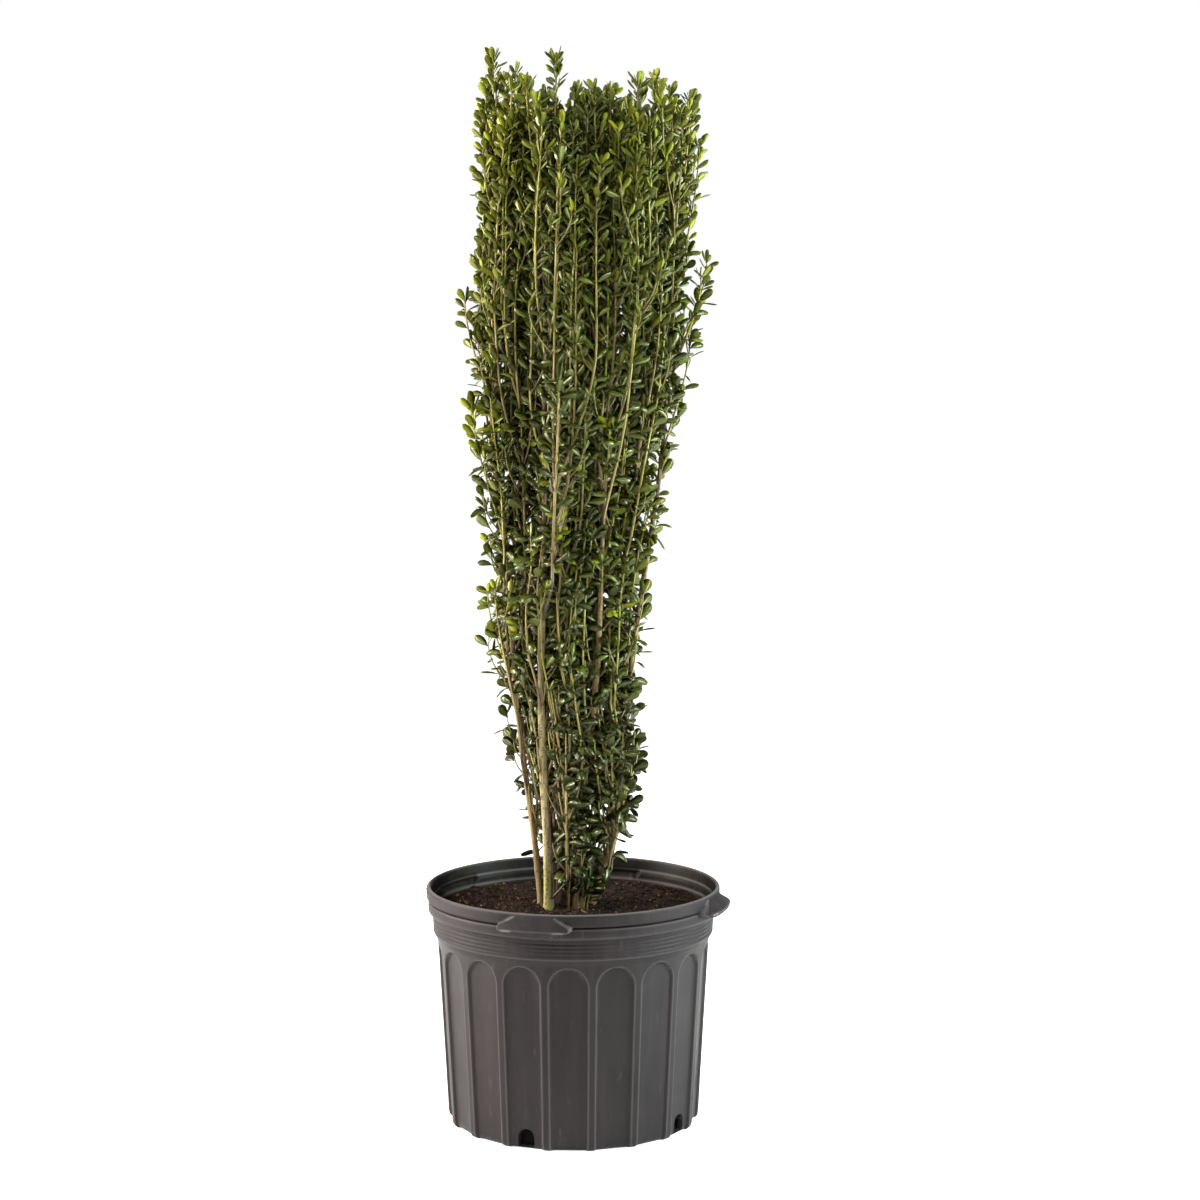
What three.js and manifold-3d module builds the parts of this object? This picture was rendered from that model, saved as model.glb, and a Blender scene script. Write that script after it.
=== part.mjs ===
// Potted Japanese holly of narrow upright habit: a nursery pot filled with soil, eight stems from one root,
// the boughs on them, and the leafy masses that the boughs carry.
// Millimetres, +Z up, and the pot stands on z = 0.
import * as THREE from "three";
import { mergeVertices } from "three/addons/utils/BufferGeometryUtils.js";
import Module from "manifold-3d";

const wasm = await Module();
wasm.setup();

// Driving dimensions: pot
const POT_HEIGHT = 287;
const RIM_RADIUS = 178;
const BASE_RADIUS = 151;
const SHOULDER_RADIUS = 163.5; // wall just under the chamfer below the ringed band
const SHOULDER_DROP = 62; // rim top down to the shoulder
const WALL = 3.8;
const FLOOR = 4;
const POT_SIDES = 36; // two to a panel, so that a panel is symmetrical
const PANELS = 18; // arched panels sunk in the wall
const PANEL_TURN = -1.5; // degrees from the front to the first panel
const PANEL_SPREAD = 15.6; // degrees across one panel
const PANEL_DEPTH = 1; // at a panel's edges: its face is flat, so it lies deeper in the middle
const PANEL_DROP = 69; // rim top down to the crown of an arch
const PANEL_SEGMENTS = 5; // of an arch's round head
const DRAIN_PANELS = [3, 8, 12, 17]; // panels with a drain hole at their foot
const DRAIN_WIDTH = 19;
const DRAIN_HEIGHT = 19;
const DRAIN_SILL = 0.5; // the hole's lower edge above the pot's floor
const DRAIN_INSET = 16; // how far inside the base's edge the hole's cutter starts
const DRAIN_SEGMENTS = 3;
const LUGS = 4;
const LUG_TURN = -16.5; // degrees from the front to the first lug
const LUG_SPREAD = 30; // degrees across one lug
const LUG_REACH = 10; // beyond the rim
const LUG_PLACES = [-1, -0.6, 0, 0.6, 1]; // sections along a lug, as shares of half its spread
const LUG_TAPER = 0.4; // share of half a lug over which its end runs back into the rim

// The rim as [inset from the rim's radius, drop from its top], from the ringed band over the lip
// to the inside
const RIM_PROFILE = [
  [9, 53],
  [8, 31],
  [2.2, 27],
  [2, 16.5],
  [4.5, 14.5],
  [0, 12],
  [0.5, 3],
  [3, 0],
  [7, 2],
  [11, 30],
];

// A lug's section as [inset from the rim's radius, share of the reach, drop from the rim's top]
const LUG_SECTION = [
  [1.5, 0.2, 4],
  [3, 1.3, 19],
  [3, 0.75, 26],
  [6, 0, 29],
  [6, 0, 4],
];

// Driving dimensions: soil and root
const SOIL_LEVEL = 262;
const SOIL_EDGE = { inset: 13, drop: 4 }; // the soil sinks towards the rim
const SOIL_FLAT = 0.6; // share of the rim's radius within which the soil is level
const SOIL_CLEARANCE = 6; // leaves and twigs stay this far above the soil
const GAP = 0.3; // clearance between separate pieces
const SLIVER = 0.02; // smallest detail kept where shapes are joined or cut

// Driving dimensions: stems. base and tip are plan positions, rise is the tip's height,
// radius is at the soil, and topX and topZ say where the shoot that carries on from the tip ends.
const STEMS = [
  { name: "front", base: [-29, -20], tip: [-32, -58], rise: 915, radius: 5.4, topX: -18, topZ: 1279 },
  { name: "front_right", base: [6, -16], tip: [44, -58], rise: 905, radius: 4.4, topX: 44, topZ: 1240 },
  { name: "right", base: [20, 2], tip: [112, -6], rise: 895, radius: 5.6, topX: 138, topZ: 1237 },
  { name: "rear_right", base: [14, 19], tip: [82, 58], rise: 890, radius: 4.2, topX: 98, topZ: 1265 },
  { name: "rear", base: [-3, 25], tip: [14, 84], rise: 900, radius: 4.4, topX: 28, topZ: 1242 },
  { name: "rear_left", base: [-20, 17], tip: [-52, 58], rise: 890, radius: 4.2, topX: -54, topZ: 1252 },
  { name: "left", base: [-38, 0], tip: [-94, -10], rise: 885, radius: 4.6, topX: -92, topZ: 1283 },
  { name: "centre", base: [-10, 1], tip: [6, 8], rise: 930, radius: 4.4, topX: 4, topZ: 1246 },
];
const RING_STEMS = STEMS.length - 1; // the last stem stands inside the ring of the others
const STEM_LEAN = 1.3; // above 1 the lean is strongest near the soil
const STEM_TIP_RADIUS = 1.9;
const STEM_WOBBLE = 2.2;
const STEM_PHASE = 2.1; // radians by which the wobble turns from one stem to the next
const STEM_TWIST = 9; // radians by which it turns along a stem
const FLARE = 1.6; // extra radius where a stem meets the soil
const FLARE_HEIGHT = 14;
const STEM_SIDES = 7;
const STEM_STEPS = 8;
const LIMB_SAMPLING = 4; // spacing of the points that stand for a limb when room is measured

// Driving dimensions: crown outline, an ellipse at each height
const CROWN_FOOT = { z: SOIL_LEVEL, half: 62 };
const CROWN_SHOULDER = { z: 990, half: 150 };
const CROWN_DEPTH = 0.9; // front-to-back size as a share of the width
const CROWN_SWAY = { low: 4, middle: -9, high: 15 }; // sideways place of the crown's axis
const CROWN_SWAY_MIDDLE = 0.4; // share of the height from foot to shoulder where the middle lies

// Driving dimensions: tiers of masses. A mass fills the gap between two neighbouring stems of the ring.
const TIERS = [
  { name: "low", start: 300, rise: 108, outward: 0.6, leafSize: 0.95, leaves: 8, core: 0, drop: 30 },
  { name: "middle", start: 446, rise: 200, outward: 0.68, leafSize: 1.12, leaves: 10, core: 15, drop: 50 },
  { name: "upper", start: 660, rise: 236, outward: 0.66, leafSize: 1.3, leaves: 11, core: 19, drop: 50 },
];
const BARE_LOW_GAPS = [3, 6]; // gaps of the lowest tier without foliage
const TOP = { leafSize: 1.3, leaves: 12, core: 18 };
const TOP_SPREAD = 1.08; // how much further from front to back a top shoot ends than its stem does
const TIP_LEAN = 1.04; // above 1 a main twig leans out more than the crown widens
const PLACE_SHIFTS = [0, -0.06, 0.06, -0.12, 0.12]; // shares of the half-width tried for a mass
const PLACE_TURNS = [0, -0.12, 0.12, -0.24, 0.24, -0.36, 0.36]; // radians tried for a mass
const PLACE_COST = { turn: 12, shift: 20 }; // room that a place off the middle of its gap has to gain
const PLACE_CHECKS = { twig: 16, bough: 10, seat: 2 }; // points where room is measured
const TWIG_ROOM = { points: 30, radius: 4 }; // room kept for a main twig that is placed already
const BOUGH_RADIUS = 2.6;
const BOUGH_TIP_RADIUS = 1.9;
const BOUGH_SIDES = 5;
const BOUGH_STEPS = 3;

// Driving dimensions: twigs and leaves. A leaf stands for a small spray, so it is about twice life size.
const TWIG_TIP_RADIUS = 1;
const TWIG_SIDES = 3;
const TWIG_STEPS = 3;
const TWIG_BEND = 0.3; // share of its length over which a main twig's ends stand upright
const SIDE_TWIGS = 2;
const SIDE_TWIG_LENGTH = 88;
const SIDE_TWIG_ANGLE = 24;
const SIDE_TWIG_STEPS = 2;
const SIDE_TWIG_PLACES = { first: 0.16, last: 0.52 }; // shares along the main twig
const SIDE_TWIG_SIZES = [1, 0.8, 0.6]; // tried in turn
const SIDE_TWIG_RISE = { bend: 0.4, end: 0.9 }; // heights of its curve as shares of its length
const SIDE_TWIG_TAPER = { foot: 0.85, tip: 0.9 }; // its radii as shares of the main twig's
const SIDE_TWIG_CHECKS = 8;
const SIDE_TWIG_GAP = 2.5;
const SIDE_LEAVES = 1;
const CORE_SIDES = 6;
const CORE_RINGS = 5;
const CORE_LEAST = 4;
const CORE_SEAT = 0.55; // where in the core a leaf's foot sits, as a share of its radius
const CORE_GAP = 7; // clearance between a core's points and a limb's surface
const CORE_ENDS = { foot: 0.03, tip: 0.97 }; // shares along the main twig
const CORE_SPINDLE = { foot: 0.06, tip: 0.96, fullness: 0.6 }; // part of a half-wave that is its outline
const CORE_RAGGED = { depth: 0.2, lobes: 3, twist: 40 };
const CORE_SPOKE = [0.5, 0.75, 1]; // shares of its radius where room is tested
const CORE_SHRINK = 0.86; // drawn in by this share at a time
const LEAF_LENGTH = 50;
const LEAF_WIDTH = 24;
const LEAF_THICKNESS = 2.6;
const LEAF_ROOM = 0.36; // least distance between leaf middles, as a share of the length
const LEAF_SINK = 1.2; // how far a leaf's foot lies beyond its twig's axis
const LEAF_DROOP = 0.06; // how far the edges lie below the rib, as a share of the length
const LEAF_EDGE = { low: 0.36, high: 0.72, spread: 0.86 }; // two points along each edge
const LEAF_EDGE_DROOP = { low: 0.7, tip: 0.6, samples: 0.4 }; // shares of the full droop
const LEAF_RIB = 0.42; // where the leaf is thickest
const LEAF_MIDDLE = 0.55;
const LEAF_SAMPLES = { first: 0.2, last: 0.99, step: 0.1, across: [-1, -0.5, 0, 0.5, 1] };
const LEAF_STARTS = { main: 0.05, side: 0.4 }; // share along its twig of the lowest leaf
const LEAF_ANGLES = { foot: 58, tip: 22, last: 5 }; // degrees between leaf and twig
const VARIES = { least: 0.9, most: 1.1 }; // chance in the lengths of leaves and side twigs
const DROOPING = [118, 92]; // degrees between twig and leaf for the first leaves of a main twig
const LEAF_TRIES = [
  { turn: 0, size: 1 },
  { turn: 0.8, size: 1 },
  { turn: -0.8, size: 1 },
  { turn: 0, size: 0.74 },
  { turn: 1.6, size: 0.8 },
  { turn: -1.6, size: 0.8 },
];
const GOLDEN_TURN = Math.PI * (3 - Math.sqrt(5));
const CELL_SQUASH = 0.45; // heights count less than widths when space is shared among the masses
const CELL_GAP = 0.6;
const SEED = { first: 101, step: 17 };
const LIMB_GAP = 3.2; // clearance between a leaf's sample points and a limb's surface

const UP = new THREE.Vector3(0, 0, 1);
const radians = THREE.MathUtils.degToRad;
const lerp = THREE.MathUtils.lerp;
const clamp = THREE.MathUtils.clamp;

const MATERIALS = {
  pot: new THREE.MeshStandardMaterial({ color: 0x3f3d3d, roughness: 0.5, metalness: 0 }),
  soil: new THREE.MeshStandardMaterial({ color: 0x3a261a, roughness: 1, metalness: 0 }),
  bark: new THREE.MeshStandardMaterial({ color: 0x8d8057, roughness: 0.8, metalness: 0 }),
  bough: new THREE.MeshStandardMaterial({ color: 0x9a8a58, roughness: 0.75, metalness: 0 }),
  foliage: new THREE.MeshStandardMaterial({ color: 0x4f6526, roughness: 0.4, metalness: 0 }),
};

// A repeatable stream of numbers from 0 to 1
function randomStream(seed) {
  let state = seed >>> 0;
  return () => {
    state = (state + 0x6d2b79f5) >>> 0;
    let t = Math.imul(state ^ (state >>> 15), state | 1);
    t ^= t + Math.imul(t ^ (t >>> 7), t | 61);
    return ((t ^ (t >>> 14)) >>> 0) / 4294967296;
  };
}

// Conversions between three.js geometry and solids
function solidOf(geometry) {
  const bare = new THREE.BufferGeometry();
  bare.setAttribute("position", geometry.getAttribute("position").clone());
  if (geometry.index) bare.setIndex(geometry.index.clone());
  const merged = mergeVertices(bare, 1e-4);
  return new wasm.Manifold(
    new wasm.Mesh({
      numProp: 3,
      vertProperties: new Float32Array(merged.attributes.position.array),
      triVerts: new Uint32Array(merged.index.array),
    }),
  );
}

function geometryOf(solid) {
  const mesh = solid.getMesh();
  const geometry = new THREE.BufferGeometry();
  geometry.setAttribute("position", new THREE.BufferAttribute(new Float32Array(mesh.vertProperties), 3));
  geometry.setIndex(new THREE.BufferAttribute(new Uint32Array(mesh.triVerts), 1));
  geometry.computeVertexNormals();
  return geometry;
}

// The largest body of a solid: loose scraps are dropped, sealed hollows filled and slivers closed up
function mainBody(solid) {
  const bodies = solid.simplify(SLIVER).decompose();
  return bodies.reduce((largest, body) => (body.volume() > largest.volume() ? body : largest));
}

// A closed skin over rings of equally many points, with a fan across each end
function skinOverRings(rings) {
  const sides = rings[0].length;
  const points = rings.flat();
  const index = [];
  for (let ring = 0; ring + 1 < rings.length; ring++) {
    for (let side = 0; side < sides; side++) {
      const a = ring * sides + side;
      const b = ring * sides + ((side + 1) % sides);
      index.push(a, b, b + sides, a, b + sides, a + sides);
    }
  }
  const last = (rings.length - 1) * sides;
  for (let side = 1; side + 1 < sides; side++) {
    index.push(0, side + 1, side);
    index.push(last, last + side, last + side + 1);
  }
  const geometry = new THREE.BufferGeometry().setFromPoints(points);
  geometry.setIndex(index);
  return geometry;
}

// A tapering limb round a curve: radiusAt gives its radius at a share of its length
function limbGeometry(curve, radiusAt, sides, steps) {
  const frames = curve.computeFrenetFrames(steps, false);
  const rings = [];
  for (let step = 0; step <= steps; step++) {
    const centre = curve.getPointAt(step / steps);
    const radius = radiusAt(step / steps);
    const ring = [];
    for (let side = 0; side < sides; side++) {
      const angle = (2 * Math.PI * side) / sides;
      ring.push(
        centre
          .clone()
          .addScaledVector(frames.normals[step], radius * Math.cos(angle))
          .addScaledVector(frames.binormals[step], radius * Math.sin(angle)),
      );
    }
    rings.push(ring);
  }
  return skinOverRings(rings);
}

// Pot: a turned shell, arched panels sunk into its wall, drain holes and grip lugs
function turned(profile) {
  const points = profile.map(([radius, z]) => new THREE.Vector2(radius, z));
  const turnedOff = new THREE.LatheGeometry(points, POT_SIDES).rotateX(Math.PI / 2);
  return solidOf(turnedOff.rotateZ(radians(PANEL_TURN)));
}

const wallRadius = (z) => lerp(BASE_RADIUS, SHOULDER_RADIUS, z / (POT_HEIGHT - SHOULDER_DROP));
const innerRadius = (z) => wallRadius(z) - WALL;

function potShell() {
  const shoulder = POT_HEIGHT - SHOULDER_DROP;
  return turned([
    [0, 0],
    [BASE_RADIUS, 0],
    [SHOULDER_RADIUS, shoulder],
    ...RIM_PROFILE.map(([inset, drop]) => [RIM_RADIUS - inset, POT_HEIGHT - drop]),
    [innerRadius(shoulder), shoulder],
    [innerRadius(FLOOR), FLOOR],
    [0, FLOOR],
  ]);
}

// An arch as deep as asked, its back face leaning with the wall at a distance from the pot's axis
function leaningArch({ width, foot, crown, distance, lean, angle, segments }) {
  const half = width / 2;
  const outline = new THREE.Shape();
  outline.moveTo(-half, foot);
  outline.lineTo(half, foot);
  outline.lineTo(half, crown - half);
  outline.absarc(0, crown - half, half, 0, Math.PI, false);
  const arch = new THREE.ExtrudeGeometry(outline, {
    depth: BASE_RADIUS / 4,
    bevelEnabled: false,
    curveSegments: segments,
  });
  arch.rotateX(lean).translate(0, 0, distance).rotateX(Math.PI / 2).rotateZ(angle);
  return solidOf(arch);
}

const panelAngle = (panel) => radians(PANEL_TURN + (panel * 360) / PANELS);

function panelRecesses() {
  const crown = POT_HEIGHT - PANEL_DROP;
  const halfSpread = radians(PANEL_SPREAD / 2);
  const lean = Math.atan((SHOULDER_RADIUS - BASE_RADIUS) / (POT_HEIGHT - SHOULDER_DROP));
  return Array.from({ length: PANELS }, (_, panel) =>
    leaningArch({
      width: 2 * wallRadius(crown / 2) * Math.sin(halfSpread),
      foot: -BASE_RADIUS / 10,
      crown,
      distance: BASE_RADIUS * Math.cos(halfSpread) - PANEL_DEPTH,
      lean,
      angle: panelAngle(panel),
      segments: PANEL_SEGMENTS,
    }),
  );
}

function drainHoles() {
  return DRAIN_PANELS.map((panel) =>
    leaningArch({
      width: DRAIN_WIDTH,
      foot: FLOOR + DRAIN_SILL,
      crown: FLOOR + DRAIN_HEIGHT,
      distance: BASE_RADIUS - DRAIN_INSET,
      lean: 0,
      angle: panelAngle(panel),
      segments: DRAIN_SEGMENTS,
    }),
  );
}

// A grip lug: the rim swells outwards and its ends taper back into it
function lug(number) {
  const middle = radians(LUG_TURN + (number * 360) / LUGS);
  const half = radians(LUG_SPREAD / 2);
  const rings = LUG_PLACES.map((share) => {
    const swell = LUG_REACH * clamp((1 - Math.abs(share)) / LUG_TAPER, 0, 1);
    const angle = middle + share * half;
    return LUG_SECTION.map(([inset, reaching, drop]) => {
      const radius = RIM_RADIUS - inset + swell * reaching;
      return new THREE.Vector3(radius * Math.sin(angle), -radius * Math.cos(angle), POT_HEIGHT - drop);
    });
  });
  return solidOf(skinOverRings(rings));
}

function pot() {
  const lugs = Array.from({ length: LUGS }, (_, number) => lug(number));
  const cuts = [...panelRecesses(), ...drainHoles()];
  return mainBody(wasm.Manifold.union([potShell(), ...lugs]).subtract(wasm.Manifold.union(cuts)));
}

function soil() {
  const floor = FLOOR + GAP;
  const shoulder = POT_HEIGHT - SHOULDER_DROP;
  return turned([
    [0, floor],
    [innerRadius(floor) - GAP, floor],
    [innerRadius(shoulder) - GAP, shoulder],
    [RIM_RADIUS - SOIL_EDGE.inset, SOIL_LEVEL - SOIL_EDGE.drop],
    [RIM_RADIUS * SOIL_FLAT, SOIL_LEVEL],
    [0, SOIL_LEVEL],
  ]);
}

// Stems: each leans out from the root most strongly near the soil, and wavers a little
class StemCurve extends THREE.Curve {
  constructor(stem, number) {
    super();
    this.stem = stem;
    this.phase = number * STEM_PHASE;
  }

  getPoint(share, target = new THREE.Vector3()) {
    const { base, tip, rise } = this.stem;
    const lean = 1 - (1 - share) ** STEM_LEAN;
    const waver = STEM_WOBBLE * Math.sin(Math.PI * share);
    const turn = this.phase + STEM_TWIST * share;
    return target.set(
      lerp(base[0], tip[0], lean) + waver * Math.cos(turn),
      lerp(base[1], tip[1], lean) + waver * Math.sin(turn),
      lerp(SOIL_LEVEL + GAP, rise, share),
    );
  }

  // Starts and ends square to +Z, so that both cut ends are level
  getTangent(share, target = new THREE.Vector3()) {
    if (share <= 0 || share >= 1) return target.copy(UP);
    return super.getTangent(share, target);
  }

  pointAtHeight(z) {
    return this.getPoint((z - SOIL_LEVEL) / (this.stem.rise - SOIL_LEVEL));
  }
}

function stemRadius(stem) {
  return (share) => {
    const height = share * (stem.rise - SOIL_LEVEL);
    return lerp(stem.radius, STEM_TIP_RADIUS, share) + FLARE * Math.exp(-height / FLARE_HEIGHT);
  };
}

// Crown outline
const crownShare = (z) => clamp((z - CROWN_FOOT.z) / (CROWN_SHOULDER.z - CROWN_FOOT.z), 0, 1);
const crownHalf = (z) => lerp(CROWN_FOOT.half, CROWN_SHOULDER.half, crownShare(z));

function crownAxisX(z) {
  const share = crownShare(z);
  const { low, middle, high } = CROWN_SWAY;
  const bend = CROWN_SWAY_MIDDLE;
  return share < bend ? lerp(low, middle, share / bend) : lerp(middle, high, (share - bend) / (1 - bend));
}

function insideCrown(point) {
  const half = crownHalf(point.z);
  const across = (point.x - crownAxisX(point.z)) / half;
  const deep = point.y / (half * CROWN_DEPTH);
  return across * across + deep * deep < 1 && point.z > SOIL_LEVEL + SOIL_CLEARANCE;
}

// The limbs, as curves with a radius: what leaves and twigs keep clear of
const limbs = [];

function addLimb(name, curve, radiusAt, sides, steps, kind) {
  const samples = [];
  const count = Math.ceil(curve.getLength() / LIMB_SAMPLING);
  for (let i = 0; i <= count; i++) {
    samples.push({ point: curve.getPointAt(i / count), radius: radiusAt(i / count) });
  }
  const limb = { name, curve, radiusAt, sides, steps, kind, samples };
  limbs.push(limb);
  return limb;
}

const clearOfLimbs = (point, gap) =>
  limbs.every((limb) => limb.samples.every((s) => s.point.distanceTo(point) > s.radius + gap));

const stemLimbs = STEMS.map((stem, number) => {
  const curve = new StemCurve(stem, number);
  return addLimb("stem_" + stem.name, curve, stemRadius(stem), STEM_SIDES, STEM_STEPS, "stem");
});

// How far a point is from the surface of the nearest limb, and from the main twigs placed so far
const mainTwigs = [];

function roomAt(point, carrier) {
  let least = Infinity;
  for (const limb of [...limbs, ...mainTwigs]) {
    if (limb === carrier) continue;
    for (const { point: middle, radius } of limb.samples) {
      least = Math.min(least, middle.distanceTo(point) - radius);
    }
  }
  return least;
}

// A mass's main twig carries on upwards and outwards, as the crown widens
function twigTip(start, rise) {
  const lean = (TIP_LEAN * crownHalf(start.z + rise)) / crownHalf(start.z);
  const axisX = crownAxisX(start.z);
  const sway = crownAxisX(start.z + rise) - axisX;
  return new THREE.Vector3(axisX + sway + (start.x - axisX) * lean, start.y * lean, start.z + rise);
}

// A mass in each gap of a tier: it starts between two stems, well out towards the crown's outline,
// where its main twig has the most room
function gapPlace(tier, gap) {
  const middle = tier.start + tier.rise / 2;
  const here = stemLimbs[gap].curve.pointAtHeight(middle);
  const next = stemLimbs[(gap + 1) % RING_STEMS].curve.pointAtHeight(middle);
  const between = here.clone().lerp(next, 0.5);
  const axisX = crownAxisX(tier.start);
  const straight = Math.atan2(between.y / CROWN_DEPTH, between.x - crownAxisX(middle));
  let best = null;
  for (const further of PLACE_SHIFTS) {
    for (const turn of PLACE_TURNS) {
      const reach = crownHalf(tier.start) * (tier.outward + further);
      const start = new THREE.Vector3(
        axisX + reach * Math.cos(straight + turn),
        reach * CROWN_DEPTH * Math.sin(straight + turn),
        tier.start,
      );
      const twig = new THREE.LineCurve3(start, twigTip(start, tier.rise)).getPoints(PLACE_CHECKS.twig);
      const bough = boughCurve(stemLimbs[gap], start, tier.drop).getPoints(PLACE_CHECKS.bough);
      const freeBough = bough.slice(PLACE_CHECKS.seat);
      const twigRoom = Math.min(...twig.map((point) => roomAt(point)));
      const boughRoom = Math.min(...freeBough.map((point) => roomAt(point, stemLimbs[gap])));
      const cost = PLACE_COST.turn * Math.abs(turn) + PLACE_COST.shift * Math.abs(further);
      const room = Math.min(twigRoom, 2 * boughRoom) - cost;
      if (!best || room > best.room) best = { start, room };
    }
  }
  return best.start;
}

function boughCurve(stemLimb, end, drop) {
  const from = stemLimb.curve.pointAtHeight(end.z - drop);
  const bend = new THREE.Vector3(end.x, end.y, lerp(from.z, end.z, 0.5));
  return new THREE.QuadraticBezierCurve3(from, bend, end);
}

const masses = [];

for (const tier of TIERS) {
  for (let gap = 0; gap < RING_STEMS; gap++) {
    if (tier.name === "low" && BARE_LOW_GAPS.includes(gap)) continue;
    const name = `${tier.name}_${STEMS[gap].name}`;
    const end = gapPlace(tier, gap);
    const carrier = stemLimbs[gap];
    const bough = addLimb(
      "bough_" + name,
      boughCurve(carrier, end, tier.drop),
      (share) => lerp(BOUGH_RADIUS, BOUGH_TIP_RADIUS, share),
      BOUGH_SIDES,
      BOUGH_STEPS,
      "bough",
    );
    bough.carrier = carrier;
    const tip = twigTip(end, tier.rise);
    const twig = new THREE.LineCurve3(end, tip).getPoints(TWIG_ROOM.points);
    mainTwigs.push({ samples: twig.map((point) => ({ point, radius: TWIG_ROOM.radius })) });
    const { leafSize, leaves, core } = tier;
    const kind = { radius: BOUGH_TIP_RADIUS, leafSize, leaves, core };
    masses.push({ name: "foliage_" + name, start: end, tip, ...kind });
  }
}

for (const [number, stem] of STEMS.entries()) {
  const start = stemLimbs[number].curve.getPoint(1);
  const topZ = stem.topZ - LEAF_LENGTH * TOP.leafSize;
  const tip = new THREE.Vector3(stem.topX, stem.tip[1] * TOP_SPREAD, topZ);
  masses.push({ name: "foliage_top_" + stem.name, start, tip, radius: STEM_TIP_RADIUS, ...TOP });
}

// Each mass keeps to its own cell: the points nearer to its middle than to any other mass's
const squashed = (point) => new THREE.Vector3(point.x, point.y, point.z * CELL_SQUASH);
for (const mass of masses) mass.centre = squashed(mass.start.clone().lerp(mass.tip, 0.5));

function insideCell(mass, point) {
  const here = squashed(point);
  return masses.every((other) => {
    if (other === mass) return true;
    const across = other.centre.clone().sub(mass.centre);
    const halfway = other.centre.clone().add(mass.centre).multiplyScalar(0.5);
    return here.clone().sub(halfway).dot(across.normalize()) < -CELL_GAP;
  });
}

const fits = (mass, points, gap) =>
  points.every((point) => insideCell(mass, point) && insideCrown(point) && clearOfLimbs(point, gap));

// A leaf: foot and tip, two points along each edge, and the rib's upper and lower side
function leafShape(foot, along, across, length) {
  const above = new THREE.Vector3().crossVectors(along, across).normalize();
  const half = (LEAF_WIDTH * length) / LEAF_LENGTH / 2;
  const droop = -LEAF_DROOP * length;
  const at = (share, side, lift) =>
    foot
      .clone()
      .addScaledVector(along, share * length)
      .addScaledVector(across, side * half)
      .addScaledVector(above, lift);
  const { low, high, spread } = LEAF_EDGE;
  const edge = [
    foot,
    at(low, spread, droop * LEAF_EDGE_DROOP.low),
    at(high, spread, droop),
    at(1, 0, droop * LEAF_EDGE_DROOP.tip),
    at(high, -spread, droop),
    at(low, -spread, droop * LEAF_EDGE_DROOP.low),
  ];
  const rib = [at(LEAF_RIB, 0, LEAF_THICKNESS / 2), at(LEAF_RIB, 0, -LEAF_THICKNESS / 2)];
  return { edge, rib, at };
}

function leafSolid({ edge, rib }) {
  const index = [];
  for (let i = 0; i < edge.length; i++) {
    const a = rib.length + i;
    const b = rib.length + ((i + 1) % edge.length);
    index.push(0, b, a, 1, a, b);
  }
  const geometry = new THREE.BufferGeometry().setFromPoints([...rib, ...edge]);
  geometry.setIndex(index);
  return solidOf(geometry);
}

// Points all over a leaf, close enough together that no limb passes between them
function leafSamples({ edge, rib, at }) {
  const samples = [...edge.slice(1), ...rib];
  const { first, last, step, across } = LEAF_SAMPLES;
  const { low, high, spread } = LEAF_EDGE;
  const droop = -LEAF_DROOP * LEAF_LENGTH * LEAF_EDGE_DROOP.samples;
  for (let share = first; share < last; share += step) {
    const half = spread * Math.min(1, share / low, (1 - share) / (1 - high));
    for (const side of across) samples.push(at(share, side * half, droop));
  }
  return samples;
}

// The close inner foliage of a dense mass: a ragged spindle round its main twig,
// drawn in where space is short
const levelAt = (angle) => new THREE.Vector3(Math.cos(angle), Math.sin(angle), 0);

function coreReach(mass, main, share, angle) {
  const centre = main.getPointAt(share);
  const outward = levelAt(angle);
  const { foot, tip, fullness } = CORE_SPINDLE;
  const spindle = Math.sin(Math.PI * lerp(foot, tip, share)) ** fullness;
  const ragged = 1 + CORE_RAGGED.depth * Math.sin(angle * CORE_RAGGED.lobes + share * CORE_RAGGED.twist);
  let radius = mass.core * ragged * spindle;
  const spoke = () => CORE_SPOKE.map((part) => centre.clone().addScaledVector(outward, radius * part));
  while (radius > CORE_LEAST && !fits(mass, spoke(), CORE_GAP)) radius *= CORE_SHRINK;
  return radius;
}

function coreSolid(mass, main) {
  const rings = [];
  for (let ring = 0; ring < CORE_RINGS; ring++) {
    const share = lerp(CORE_ENDS.foot, CORE_ENDS.tip, ring / (CORE_RINGS - 1));
    const points = [];
    for (let side = 0; side < CORE_SIDES; side++) {
      const angle = (2 * Math.PI * (side + (ring % 2) / 2)) / CORE_SIDES;
      const radius = coreReach(mass, main, share, angle);
      points.push(main.getPointAt(share).addScaledVector(levelAt(angle), radius));
    }
    rings.push(points);
  }
  return solidOf(skinOverRings(rings));
}

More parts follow.
